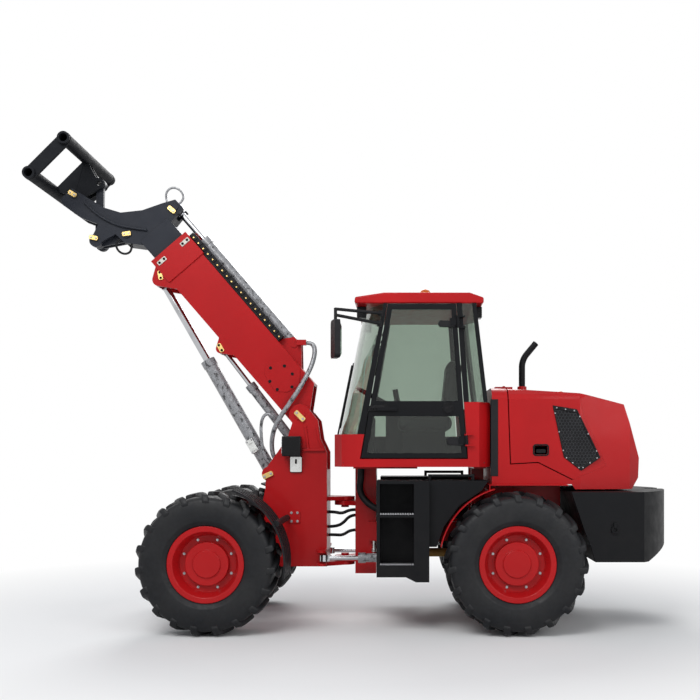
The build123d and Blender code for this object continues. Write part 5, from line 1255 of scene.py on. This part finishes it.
@dataclass
class Boom:
    """Retainers, wear pads, doublers, studs and ribs on the boom and its head."""

    side: float = 150.0
    collar: float = 162.0
    head: float = 118.0
    head_pins: Sequence[Slab] = (
        Slab((2296, 3470), 72, 36, 30, 7, -16, 7, 38), Slab((2124, 3111), 72, 36, 12, 7, -16, 7, 38),
        Slab((1855, 3144), 72, 36, -8, 7, -16, 7, 38), Slab((1487, 3340), 72, 36, 40, 7, -16, 7, 38))
    lug_pins: Sequence[Slab] = (
        Slab((1571, 2799), 76, 38, 80, 8, -10, 9, 46), Slab((1083, 2210), 76, 38, 60, 8, -10, 9, 46))
    pads: Sequence[Slab] = (
        Slab((1369, 3067), 84, 34, -41, 3, -1, 8, 48), Slab((1555, 2913), 84, 34, -41, 3, -1, 8, 48))
    doubler: Sequence[Flat] = (
        (722, 1989), (722, 2046), (697, 2087), (486, 2111), (432, 2040), (442, 1900), (540, 1850), (640, 1855))
    doubler_low: float = -2.0
    doubler_high: float = 6.0
    plugs: Sequence[Flat] = ((676, 2046), (563, 2062), (499, 1997), (681, 1937), (502, 1892), (621, 1871))
    plug_radius: float = 13.0
    plug_high: float = 8.5
    rib: Sequence[Flat] = (
        (2200, 3402), (2137, 3337), (2063, 3280), (1974, 3231), (1876, 3198), (1690, 3174))
    rib_side: float = 119.0
    rib_radius: float = 9.0
    studs: int = 19
    first_stud: float = 598.5
    stud_pitch: float = 59.0
    stud_above: float = 286.0
    stud_side: float = 140.0
    stud_radius: float = 7.0
    stud_height: float = 5.0

    def head_retainers(self) -> None:
        """Yellow pin retainers with their bolts on both head plates."""
        plates = Stock().slabs(self.head_pins, self.head)
        settle(plates.mesh(1.2, both=True), "head_retainers", GOLD_ZINC, "boom_head")
        bolts = [spot for slab in self.head_pins for spot in slab.bolt_spots(self.head)]
        Bolts("head_retainer_bolts", "boom_head", STEEL, 12, 6).fit(bolts)

    def collar_pads(self) -> None:
        """White wear pads bolted on the collar, and the retainers of the cylinder lugs."""
        pads = Stock().slabs(self.pads, self.collar)
        settle(pads.mesh(1.5, both=True), "collar_pads", PAD_WHITE, "boom")
        lugs = Stock().slabs(self.lug_pins, self.side)
        settle(lugs.mesh(1.2, both=True), "lug_retainers", GOLD_ZINC, "boom")
        bolts = [spot for slab in self.pads for spot in slab.bolt_spots(self.collar)]
        bolts += [spot for slab in self.lug_pins for spot in slab.bolt_spots(self.side)]
        Bolts("collar_pad_bolts", "boom", BLACK, 15, 7).fit(bolts)

    def base_doublers(self) -> None:
        """Doubler plates and plugged holes on the boom's foot."""
        plates = Stock().prism(self.doubler, self.side + self.doubler_low, self.side + self.doubler_high)
        settle(plates.mesh(2.0, both=True), "boom_doublers", RED, "boom")
        plugs = Stock()
        for at in self.plugs:
            plugs.prism(circle(at, self.plug_radius, 20), self.side, self.side + self.plug_high)
        settle(plugs.mesh(1.2, both=True), "boom_plugs", BLACK, "boom")

    def gooseneck_ribs(self) -> None:
        """Bent bars welded along the gooseneck's sides."""
        for side in Side:
            route = [(x, side.value * self.rib_side, z) for x, z in self.rib]
            bar = spline_mesh("gooseneck_rib", route, self.rib_radius * MM)
            bar.shade_smooth()
            settle(bar, f"gooseneck_rib_{side.name.lower()}", BLUE_BLACK, "boom_head")

    def chain_studs(self) -> None:
        """Brass studs on the hose chain's links."""
        pin = Stock().prism(circle((0, 0), self.stud_radius, 12), -1, self.stud_height, Axis.Z).mesh(1.0, 1)
        places = []
        for index in range(self.studs):
            x, z = on_boom(self.first_stud + self.stud_pitch * index, self.stud_above)
            places.append(((x, self.stud_side, z), (0, 1, 0)))
        mesh = Repeat("chain_studs", Pattern.PLACES, GOLD_ZINC).grow(pin, places)
        settle(mesh, "chain_studs", GOLD_ZINC, "boom")

    def build(self) -> None:
        """Make all of the boom's details."""
        self.head_retainers()
        self.collar_pads()
        self.base_doublers()
        self.chain_studs()
        self.gooseneck_ribs()


@dataclass
class Tower:
    """Pin retainers, flanges, lamp lenses and brackets on the front frame."""

    face: float = 195.0
    boss: float = 207.0
    bracket: float = 213.0
    foot_pins: Sequence[Slab] = (
        Slab((433, 1655), 104, 40, 45, 7, -16, 8, 68), Slab((691, 1178), 88, 40, -25, 7, -16, 8, 56))
    arm_pad: Slab = Slab((476, 840), 92, 100, 0, 8, -1, 12)
    arm_bolts: Sequence[Flat] = ((452, 806), (500, 806), (452, 874), (500, 874))
    front_flange: Sequence[Flat] = ((398, 1574), (380, 1574), (356, 1388), (374, 1388))
    rear_flange: Sequence[Flat] = (
        (233, 1388), (270, 1466), (284, 1560), (303, 1560), (289, 1466), (254, 1388))
    ledge: Sequence[Flat] = ((408, 1372), (408, 1390), (230, 1390), (230, 1372))
    flange_low: float = -3.0
    flange_high: float = 16.0
    ledge_high: float = 22.0
    plate_rim: Sequence[Flat] = tuple(strip((463, 1264), 122, 92, 90, 5))
    plate_slot: Sequence[Flat] = tuple(strip((463, 1288), 40, 16, 90, 5))
    plate_low: float = -3.0
    plate_high: float = 4.0
    valve_blocks: Sequence[Slab] = (
        Slab((838, 1412), 118, 64, 60, 4, 30, 86), Slab((856, 1446), 34, 30, 60, 3, 84, 100))
    valve_port: Flat = (822, 1384)
    valve_bolts: Sequence[Flat] = tuple(strip((838, 1412), 94, 44, 60))
    lens_low: Point = (562, 226, 1352)
    lens_high: Point = (569, 308, 1374)
    lens_ribs: int = 5
    lens_pitch: float = 24.0

    def flanges(self) -> None:
        """Raised edges of the tower's upper part and the ledge under them."""
        low, high = self.face + self.flange_low, self.face + self.flange_high
        edges = Stock().prism(self.front_flange, low, high).prism(self.rear_flange, low, high)
        edges.prism(self.ledge, low, self.face + self.ledge_high)
        settle(edges.mesh(2.5, both=True), "tower_flanges", RED, "front_chassis")

    def lamp_plates(self) -> None:
        """Zinc plates with a slot on the lamps' brackets."""
        low, high = self.bracket + self.plate_low, self.bracket + self.plate_high
        plates = Stock().ring(self.plate_rim, self.plate_slot, low, high)
        settle(plates.mesh(0.8, both=True), "lamp_plates", ZINC, "front_chassis")

    def valve(self) -> None:
        """Lock valve bolted on the lift cylinder's barrel."""
        block = Stock().slabs(self.valve_blocks)
        top = self.valve_blocks[0].high
        block.prism(circle(self.valve_port, 13, 18), top - 2, top + 18)
        settle(block.mesh(2.0), "lift_valve", ZINC, "lift_barrel")
        places = [((u, top, v), (0, 1, 0)) for u, v in self.valve_bolts]
        Bolts("lift_valve_bolts", "lift_barrel", STEEL, 11, 7).fit(places)

    def retainers(self) -> None:
        """Yellow retainers over the boom's and the lift cylinder's foot pins, and the fender arms' pads."""
        plates = Stock().slabs(self.foot_pins, self.boss)
        settle(plates.mesh(1.2, both=True), "tower_retainers", GOLD_ZINC, "front_chassis")
        bolts = [spot for slab in self.foot_pins for spot in slab.bolt_spots(self.boss)]
        for x, z in self.arm_bolts:
            bolts += both_ways(x, self.face + self.arm_pad.high, z)
        Bolts("tower_bolts", "front_chassis", STEEL, 15, 8).fit(bolts)
        pads = Stock().slabs([self.arm_pad], self.face)
        settle(pads.mesh(2.0, both=True), "fender_arm_pads", RED, "front_chassis")

    def lenses(self) -> None:
        """Work lamp lenses with their reflectors' ribs."""
        lens = Stock()
        for rib in range(self.lens_ribs):
            rise = rib * self.lens_pitch
            low, high = ((*corner[:2], corner[2] + rise) for corner in (self.lens_low, self.lens_high))
            lens.block(low, high)
        settle(lens.mesh(2.0, both=True), "work_lamp_lenses", CLEAR_LENS, "front_chassis")

    def build(self) -> None:
        """Make all of the tower's details."""
        self.retainers()
        self.flanges()
        self.lamp_plates()
        self.valve()
        self.lenses()


@dataclass
class CabTrim:
    """Door furniture, mirror glasses, a floor mat and dark sheets of painted shade inside the cab."""

    door: float = 668.0
    handle: Sequence[Slab] = (
        Slab((-214, 1699), 158, 44, -4, 12, -1, 12), Slab((-208, 1703), 112, 18, -4, 6, 10, 27))
    lock: Flat = (-741, 1699)
    lock_radii: Sequence[float] = (44, 37, 29)
    hinges: Sequence[Slab] = (
        Slab((-735, 2338), 136, 50, 2, 14, -19, 10), Slab((-800, 1445), 136, 60, 2, 16, -19, 10))
    mirror: Sequence[Flat] = tuple(strip((0, 2202), 246, 142, 90, 22))
    mirror_faces: Flat = (-24.5, -19.0)
    mirror_side: float = 856.0
    mirror_places: Sequence[tuple[Side, float]] = ((Side.LEFT, 100.0), (Side.RIGHT, -150.0))
    mirror_turn: float = -15.0
    mat: Sequence[Point] = ((-1024, -616, 1279), (60, 616, 1288))
    # A real floor mat, then two sheets of painted shade on the rear and far walls, seen through the glass.
    rear_shade_sheet: Sequence[Point] = ((-1030, -600, 1288), (-1020, 600, 1742))
    side_shade_sheet: Sequence[Point] = ((-1020, -621, 1288), (40, -611, 1498))

    def door_furniture(self) -> None:
        """Handle, lock and hinge covers."""
        handle = Stock().slabs(self.handle, self.door)
        settle(handle.mesh(4.0, 3), "door_handle", GLOSS_BLACK, "door")
        disc, outer, inner = (circle(self.lock, radius, 40) for radius in self.lock_radii)
        lock = Stock().prism(disc, self.door - 1, self.door + 7)
        lock.ring(outer, inner, self.door + 6, self.door + 11)
        settle(lock.mesh(1.5), "door_lock", GLOSS_BLACK, "door")
        covers = Stock().slabs(self.hinges, self.door)
        settle(covers.mesh(4.0, 3), "hinge_covers", PLASTIC, "door")

    def mirror_glasses(self) -> None:
        """Silvered glass on each mirror's back."""
        for side, x in self.mirror_places:
            pane = Stock().prism(self.mirror, *self.mirror_faces, Axis.X).mesh(1.5)
            place = Matrix.Translation((MM * x, MM * side.value * self.mirror_side, 0))
            pane.transform(place @ Matrix.Rotation(side.value * math.radians(self.mirror_turn), 4, "Z"))
            settle(pane, f"mirror_glass_{side.name.lower()}", MIRROR, "rear_chassis")

    def mat_and_shade_sheets(self) -> None:
        """A dark floor mat, and dark sheets on the cab's rear and far walls that are painted shade for the
        view through its glass.
        """
        # The rear and far wall sheets are painted shade that darkens the view through the glass.
        lining = Stock().block(*self.mat).block(*self.rear_shade_sheet).block(*self.side_shade_sheet)
        settle(lining.mesh(2.0), "cab_linings", LINING_AND_SHADE, "rear_chassis")

    def build(self) -> None:
        """Make all of the cab's trim."""
        self.door_furniture()
        self.mirror_glasses()
        self.mat_and_shade_sheets()


@dataclass
class RearTrim:
    """Step treads, stowed locking bar, lashing hooks and hood seals on the rear frame."""

    tooth: Sequence[Flat] = ((-479, -5), (-466, -5), (-469, 7), (-476, 7))
    tooth_low: float = 786.0
    tooth_high: float = 800.0
    teeth: int = 14
    tooth_pitch: float = 18.3
    tooth_rise: float = 6.0
    treads_at: Sequence[float] = (520, 897)
    tread_low: Flat = (-480, 660)
    tread_high: Flat = (-227, 799)
    tread_thick: float = 3.0
    bar: Flat = (-165, 168)
    bar_radius: float = 17.0
    bar_span: Flat = (560, 768)
    knob_radius: float = 22.0
    knob_spans: Sequence[Flat] = ((556, 584), (744, 772))
    hook_plates: Sequence[Slab] = (
        Slab((-1985, 790), 96, 52, 90, 10, 771, 779), Slab((-1985, 818), 40, 22, 90, 4, 777, 797))
    hook_eye: Flat = (-1985, 782)
    hook_span: Flat = (777, 793)
    seal: Sequence[Flat] = ((-1070, 1180), (-1126, 1180), (-1126, 1768), (-1070, 1768))
    seal_span: Flat = (612, 625)

    def treads(self) -> None:
        """Toothed plates on the steps."""
        tooth = Stock().prism(self.tooth, self.tooth_low, self.tooth_high).mesh(0.8, 1)
        plates = Stock()
        meshes = []
        for height in self.treads_at:
            plates.block((*self.tread_low, height), (*self.tread_high, height + self.tread_thick))
            for side in Side:
                copy = tooth.copy()
                copy.transform(Matrix.Translation((0, 0, MM * (height + self.tooth_rise))))
                if side is Side.RIGHT:
                    copy.transform(Matrix.Scale(-1, 4, (0, 1, 0)))
                    copy.flip_normals()
                row = Repeat(f"tread_teeth_{height}_{side.name.lower()}", Pattern.ROW, STEEL, self.teeth,
                             step=(self.tooth_pitch, 0, 0))
                meshes.append(row.grow(copy))
        settle(joined(plates.mesh(1.0, both=True), *meshes), "step_treads", STEEL, "rear_chassis")

    def lock_bar(self) -> None:
        """Plated locking bar for the articulation, stowed on the post."""
        bar = Stock().prism(circle(self.bar, self.bar_radius, 24), *self.bar_span, Axis.Z)
        for span in self.knob_spans:
            bar.prism(circle(self.bar, self.knob_radius, 24), *span, Axis.Z)
        settle(bar.mesh(1.5), "lock_bar", ZINC, "rear_chassis")

    def weight_hooks(self) -> None:
        """Lashing hooks on the counterweight's sides."""
        hooks = Stock().slabs(self.hook_plates)
        hooks.ring(circle(self.hook_eye, 27, 24), circle(self.hook_eye, 15, 24), *self.hook_span)
        settle(hooks.mesh(2.0, both=True), "weight_hooks", BLACK, "rear_chassis")

    def hood_seals(self) -> None:
        """Black rubber seals between the cab and the hood's sides."""
        seals = Stock().prism(self.seal, *self.seal_span)
        settle(seals.mesh(3.0, both=True), "hood_seals", PLASTIC, "rear_chassis")

    def build(self) -> None:
        """Make all of the rear frame's trim."""
        self.treads()
        self.lock_bar()
        self.weight_hooks()
        self.hood_seals()


@dataclass
class HoodTrim:
    """Honeycomb grilles, latches and top plate of the hood."""

    side: float = 618.0
    rim_low: float = -2.0
    rim_high: float = 9.0
    cell: float = 15.0
    cell_height: float = 6.0
    rows: int = 40
    columns: int = 30
    first_cell: Flat = (-1910, 1220)
    grille: Sequence[Flat] = ((-1545, 1716), (-1729, 1686), (-1905, 1325), (-1759, 1225), (-1629, 1327))
    opening: float = 0.88
    bolt_line: float = 0.96
    bolt_shares: Sequence[float] = (0.12, 0.5, 0.88)
    plate: Sequence[Flat] = ((-1955, 1758), (-2098, 1729), (-2101, 1738), (-1955, 1768))
    plate_half: float = 478.0
    lip: Sequence[Flat] = ((-2096, 1731), (-2118, 1664), (-2126, 1666), (-2103, 1737))
    lip_half: float = 345.0
    latch_rim: Sequence[Flat] = tuple(strip((-1453, 1380), 122, 90, 0, 14))
    latch_hole: Sequence[Flat] = tuple(strip((-1453, 1380), 98, 66, 0, 8))
    latch_span: Flat = (612, 626)
    latch_plates: Sequence[Slab] = (
        Slab((-1453, 1380), 100, 68, 0, 8, 610, 620), Slab((-1453, 1372), 74, 30, 0, 6, 618, 625))

    def _inset(self, share: float) -> list[Flat]:
        """Draw the grille's outline in towards its middle.

        Args:
            share: Size of the new outline, as a share of the old one.

        Returns:
            The new outline.
        """
        x = sum(u for u, _ in self.grille) / len(self.grille)
        z = sum(v for _, v in self.grille) / len(self.grille)
        return [(x + (u - x) * share, z + (v - z) * share) for u, v in self.grille]

    def _within(self, at: Flat) -> bool:
        """Tell whether a point lies in the grille's opening.

        Args:
            at: The point, in the side view.

        Returns:
            True inside the opening.
        """
        corners = self._inset(self.opening)
        crossings = 0
        for (u, v), (p, q) in zip(corners, corners[1:] + corners[:1]):
            if (v > at[1]) != (q > at[1]) and at[0] < (p - u) * (at[1] - v) / (q - v) + u:
                crossings += 1
        return crossings % 2 == 1

    def grilles(self) -> None:
        """A rim and a honeycomb of cells on each grille."""
        low, high = self.side + self.rim_low, self.side + self.rim_high
        rim = Stock().ring(self._inset(1.02), self._inset(0.9), low, high)
        settle(rim.mesh(3.0, both=True), "grille_rims", GLOSS_BLACK, "hood")
        outer, inner = (circle((0, 0), self.cell * share, 6) for share in (1.06, 0.82))
        cell = Stock().ring(outer, inner, 0, self.cell_height, Axis.Z)
        places = []
        for row in range(self.rows):
            for column in range(self.columns):
                x = self.first_cell[0] + column * self.cell * 1.7321 + (row % 2) * self.cell * 0.866
                z = self.first_cell[1] + row * self.cell * 1.5
                if self._within((x, z)):
                    places += both_ways(x, self.side, z)
        mesh = Repeat("grille_cells", Pattern.PLACES, GRILLE_GREY).grow(cell.mesh(0.0), places)
        settle(mesh, "grille_cells", GRILLE_GREY, "hood")

    def top_plate(self) -> None:
        """Black plate over the tail's upper edge, and bolts round the grilles."""
        plate = Stock().prism(self.plate, -self.plate_half, self.plate_half)
        plate.prism(self.lip, -self.lip_half, self.lip_half)
        settle(plate.mesh(2.0), "tail_top_plate", BLACK, "hood")
        line = self._inset(self.bolt_line)
        places = []
        for (u, v), (p, q) in zip(line, line[1:] + line[:1]):
            for share in self.bolt_shares:
                places += both_ways(u + (p - u) * share, self.side + self.rim_high, v + (q - v) * share)
        Bolts("grille_bolts", "hood", STEEL, 8, 4).fit(places)

    def latches(self) -> None:
        """Black pull latches in the hood's sides."""
        frames = Stock().ring(self.latch_rim, self.latch_hole, *self.latch_span).slabs(self.latch_plates)
        settle(frames.mesh(2.0, both=True), "hood_latches", GLOSS_BLACK, "hood")

    def build(self) -> None:
        """Make all of the hood's trim."""
        self.grilles()
        self.latches()
        self.top_plate()


@dataclass
class Cushion:
    """A padded part of the seat, swollen by cloth simulation."""

    name: str
    low: Point
    high: Point
    lean: float = 0.0
    voxel: float = 0.006
    cap: float = 0.014
    pressure: float = 4.0
    edge: float = 34.0
    steps: int = 20

    def _block(self) -> bpy.types.Mesh:
        """Make the pad as it is before it swells.

        Returns:
            Its mesh, leaning as it does in the seat.
        """
        mesh = Stock().block(self.low, self.high).mesh(self.edge, 4)
        pivot = Matrix.Translation(Vector((self.low[0], 0, self.low[2])) * MM)
        mesh.transform(pivot @ Matrix.Rotation(math.radians(self.lean), 4, "Y") @ pivot.inverted())
        return mesh

    def _swell(self, mesh: bpy.types.Mesh) -> bpy.types.Mesh:
        """Remesh the pad, press it out like a filled cover and limit how far it moves.

        Args:
            mesh: The pad before it swells.

        Returns:
            The swollen pad.
        """
        scene = bpy.context.scene
        holder = bpy.data.objects.new(f"{self.name}_pad", mesh)
        scene.collection.objects.link(holder)
        remesh = holder.modifiers.new("remesh", "REMESH")
        remesh.mode = "VOXEL"
        remesh.voxel_size = self.voxel
        even = evaluated_mesh(holder)
        holder.modifiers.clear()
        holder.data = even
        rest = [vertex.co.copy() for vertex in even.vertices]
        cloth = holder.modifiers.new("cloth", "CLOTH")
        cloth.settings.use_pressure = True
        cloth.settings.uniform_pressure_force = self.pressure
        cloth.settings.effector_weights.gravity = 0.0
        for step in range(1, self.steps + 1):
            scene.frame_set(step)
        full = evaluated_mesh(holder)
        holder.modifiers.clear()
        scene.frame_set(1)
        for vertex, start in zip(full.vertices, rest):
            move = vertex.co - start
            if move.length > self.cap:
                vertex.co = start + move.normalized() * self.cap
        holder.data = full
        smoother = holder.modifiers.new("smooth", "SUBSURF")
        smoother.levels = smoother.render_levels = 1
        final = evaluated_mesh(holder)
        holder.modifiers.clear()
        bpy.data.objects.remove(holder)
        return final

    def build(self) -> bpy.types.Object:
        """Returns:
            The pad.
        """
        mesh = self._block()
        mesh = self._swell(mesh)
        mesh.shade_smooth()
        piece = settle(mesh, self.name, SEAT_CLOTH, "rear_chassis")
        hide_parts("seat")
        return piece


@dataclass
class Machine:
    """The whole loader: dressed CAD nodes first, then the pieces that only the looks need."""

    bodies: dict[str, str] = field(default_factory=dict)

    def __post_init__(self) -> None:
        """Look up the body of every node."""
        for body, nodes in frame["record"]["behaviour"]["bodies"].items():
            for node in nodes:
                self.bodies[node] = body

    def dress_nodes(self) -> None:
        """Give every CAD node its finish."""
        corners = ("front_left", "front_right", "rear_left", "rear_right")
        panels: list[Panel] = [Panel(f"rim_{corner}", RED, 0.004) for corner in corners]
        frames = ("outer_boom", "front_frame", "rear_frame", "rear_fenders")
        panels += [Panel(node, RED, 0.005) for node in frames]
        panels += [Panel("cab_tub", RED, 0.014, 3)]
        panels += [Panel(node, RED, 0.010, 3) for node in ("hood_panel", "side_panels")]
        panels += [Panel("hood_tail", RED, 0.010, 3, soft=0.05)]
        panels += [Panel("cab_roof", RED, 0.012, 3)]
        panels += [Panel(node, BLUE_BLACK, 0.003) for node in ("inner_boom", "rocker", "tilt_link")]
        panels += [Panel("coupler_frame", COUPLER_BLACK, 0.0)]
        blacks = ("step_boxes", "seat_base", "door_frame", "cab_pillars")
        panels += [Panel(node, BLACK, 0.005) for node in blacks]
        panels += [Panel("counterweight", BLACK, 0.018, 3)]
        panels += [SplitPanel("exhaust_stack", RED, 0.003, second=BLACK, limit=1.906)]
        panels += [Panel(node, CASTING, 0.006) for node in ("front_axle", "rear_axle", "engine")]
        barrels = ("lift_barrel", "level_barrel", "tele_barrel", "steer_barrel_left", "steer_barrel_right")
        panels += [Panel(node, FILM, 0.002) for node in barrels]
        panels += [Panel(node.replace("barrel", "rod"), CHROME, 0.002) for node in barrels]
        panels += [Panel("prop_shaft", OCHRE, 0.003)]
        plastics = ("front_fenders", "dashboard", "console", "mirrors", "wiper", "hood_grilles", "hose_chain")
        panels += [Panel(node, PLASTIC, 0.003) for node in plastics]
        panels += [Panel("front_lamps", GLOSS_BLACK, 0.006)]
        panels += [SplitPanel("roof_lamps", GLOSS_BLACK, 0.006, second=AMBER, limit=2.585)]
        panels += [SplitPanel("hood_lamps", RED_LENS, 0.004, second=AMBER, limit=1.70)]
        panels += [Panel("cab_glass", GLASS, 0.0), Panel("door_glass", GLASS, 0.0)]
        for panel in panels:
            panel.dress(self.bodies)

    def fit_details(self) -> None:
        """Build the sub-assemblies' own details."""
        for end, x in (("front", 1055.0), ("rear", -1245.0)):
            Wheel(f"{end}_left", x, Side.LEFT).build()
            Wheel(f"{end}_right", x, Side.RIGHT).build()
        Boom().build()
        Tower().build()
        CabTrim().build()
        RearTrim().build()
        HoodTrim().build()
        Cushion("seat_cushion", (-800, -225, 1545), (-352, 225, 1650)).build()
        Cushion("seat_back", (-822, -215, 1662), (-722, 215, 2105), lean=-6.0).build()

    def lay_hoses(self) -> None:
        """Lay the hoses that show outside the frame."""
        Hose("boom_bundle", "boom_hoses", BUNDLE, 19.0, 1.155, FILM, "boom", "front_chassis").build()
        Hose("port_loop", "boom_hoses", PORT_LOOP, 13.0, 0.642, FILM, "level_barrel", "front_chassis").build()
        for index, run in enumerate(PIVOT_RUNS):
            Hose(f"pivot_hose_{index}", "pivot_hoses", run.route(), 13.0, run.length, HOSE,
                 "front_chassis", "rear_chassis").build()
        Hose("head_hose_0", "head_hoses", LOWER_HEAD_LOOP, 9.0, 0.2855, HOSE, "boom_head", "boom_head").build()
        Hose("head_hose_1", "head_hoses", UPPER_HEAD_LOOP, 9.0, 0.3393, FILM, "boom_head", "boom_head").build()
        Hose("filler_hose", "filler_pipe", FILLER, 27.0, 0.530, HOSE, "rear_chassis", "rear_chassis").build()


@dataclass
class Studio:
    """Camera, lamps, floor and backdrop."""

    eye: Point = (-0.403, 8.1, 1.38)
    lens: float = 50.35
    shift: tuple[float, float] = (-0.0764, 0.1429)

    def camera(self) -> None:
        """Stand the camera where the photograph was taken."""
        data = bpy.data.cameras.new("photo_camera")
        data.sensor_width = 36.0
        data.lens = self.lens
        data.shift_x, data.shift_y = self.shift
        data.clip_end = 200.0
        holder = bpy.data.objects.new("photo_camera", data)
        level = Matrix.Rotation(math.pi, 4, "Z") @ Matrix.Rotation(math.pi / 2, 4, "X")
        holder.matrix_world = Matrix.Translation(self.eye) @ level
        bpy.context.scene.collection.objects.link(holder)
        bpy.context.scene.camera = holder

    def lamp(self, name: str, place: Point, target: Point, size: float, power: float) -> None:
        """Hang one soft lamp.

        Args:
            name: Its name.
            place: Where it hangs.
            target: Where it points.
            size: Edge of its square.
            power: Watts.
        """
        data = bpy.data.lights.new(name, "AREA")
        data.size = size
        data.energy = power
        holder = bpy.data.objects.new(name, data)
        aim = Vector(target) - Vector(place)
        holder.matrix_world = Matrix.Translation(place) @ aim.to_track_quat("-Z", "Y").to_matrix().to_4x4()
        bpy.context.scene.collection.objects.link(holder)

    def floor(self) -> None:
        """Lay a pale floor that turns white away from the machine."""
        shape = bmesh.new()
        bmesh.ops.create_grid(shape, x_segments=1, y_segments=1, size=60.0)
        mesh = bpy.data.meshes.new("studio_floor")
        shape.to_mesh(mesh)
        shape.free()
        holder = bpy.data.objects.new("studio_floor", mesh)
        bpy.context.scene.collection.objects.link(holder)
        tree = Shader("floor_white")
        tone = tree.ramp(tree.noise(0.7, 2), [(0.3, (0.80, 0.80, 0.80)), (0.7, (0.82, 0.82, 0.82))])
        tree.drive("Base Color", tone)
        tree.set(Roughness=0.9, Specular_IOR_Level=0.1)
        length = tree.nodes.new("ShaderNodeVectorMath")
        length.operation = "LENGTH"
        tree.links.new(tree.place, length.inputs[0])
        far = tree.span(length.outputs["Value"], 0.0, 1.0, 2.4, 5.2)
        factor = tree.times(seen_rays(tree.material.node_tree), far)
        white = tree.nodes.new("ShaderNodeEmission")
        blend = tree.nodes.new("ShaderNodeMixShader")
        tree.links.new(factor, blend.inputs[0])
        tree.links.new(tree.surface.outputs[0], blend.inputs[1])
        tree.links.new(white.outputs[0], blend.inputs[2])
        tree.links.new(blend.outputs[0], tree.out.inputs[0])
        mesh.materials.append(tree.material)

    def world(self) -> None:
        """White backdrop for the camera and plain soft light for the rest."""
        world = bpy.data.worlds.new("studio_world")
        bpy.context.scene.world = world
        world.use_nodes = True
        nodes, links = world.node_tree.nodes, world.node_tree.links
        nodes.clear()
        out = nodes.new("ShaderNodeOutputWorld")
        mixer = nodes.new("ShaderNodeMixShader")
        soft = nodes.new("ShaderNodeBackground")
        soft.inputs[0].default_value = (0.9, 0.94, 1.0, 1.0)
        soft.inputs[1].default_value = 0.42
        white = nodes.new("ShaderNodeBackground")
        white.inputs[0].default_value = (1.0, 1.0, 1.0, 1.0)
        links.new(seen_rays(world.node_tree), mixer.inputs[0])
        links.new(soft.outputs[0], mixer.inputs[1])
        links.new(white.outputs[0], mixer.inputs[2])
        links.new(mixer.outputs[0], out.inputs[0])

    def build(self) -> None:
        """Set up the whole studio."""
        bpy.context.scene.view_settings.view_transform = "Standard"
        self.camera()
        self.lamp("key_lamp", (2.5, 7.0, 7.5), (0.0, 0.0, 1.4), 5.0, 500.0)
        self.lamp("fill_lamp", (-5.0, 6.5, 3.5), (-0.5, 0.0, 1.2), 4.0, 170.0)
        self.lamp("back_lamp", (0.0, -6.5, 7.0), (0.0, 0.0, 1.5), 5.0, 420.0)
        self.floor()
        self.world()


def main() -> None:
    """Build the machine and the studio."""
    logging.basicConfig(level=logging.INFO, format="%(message)s")
    Studio().build()
    machine = Machine()
    machine.lay_hoses()
    machine.dress_nodes()
    machine.fit_details()


if __name__ == "__main__":
    main()
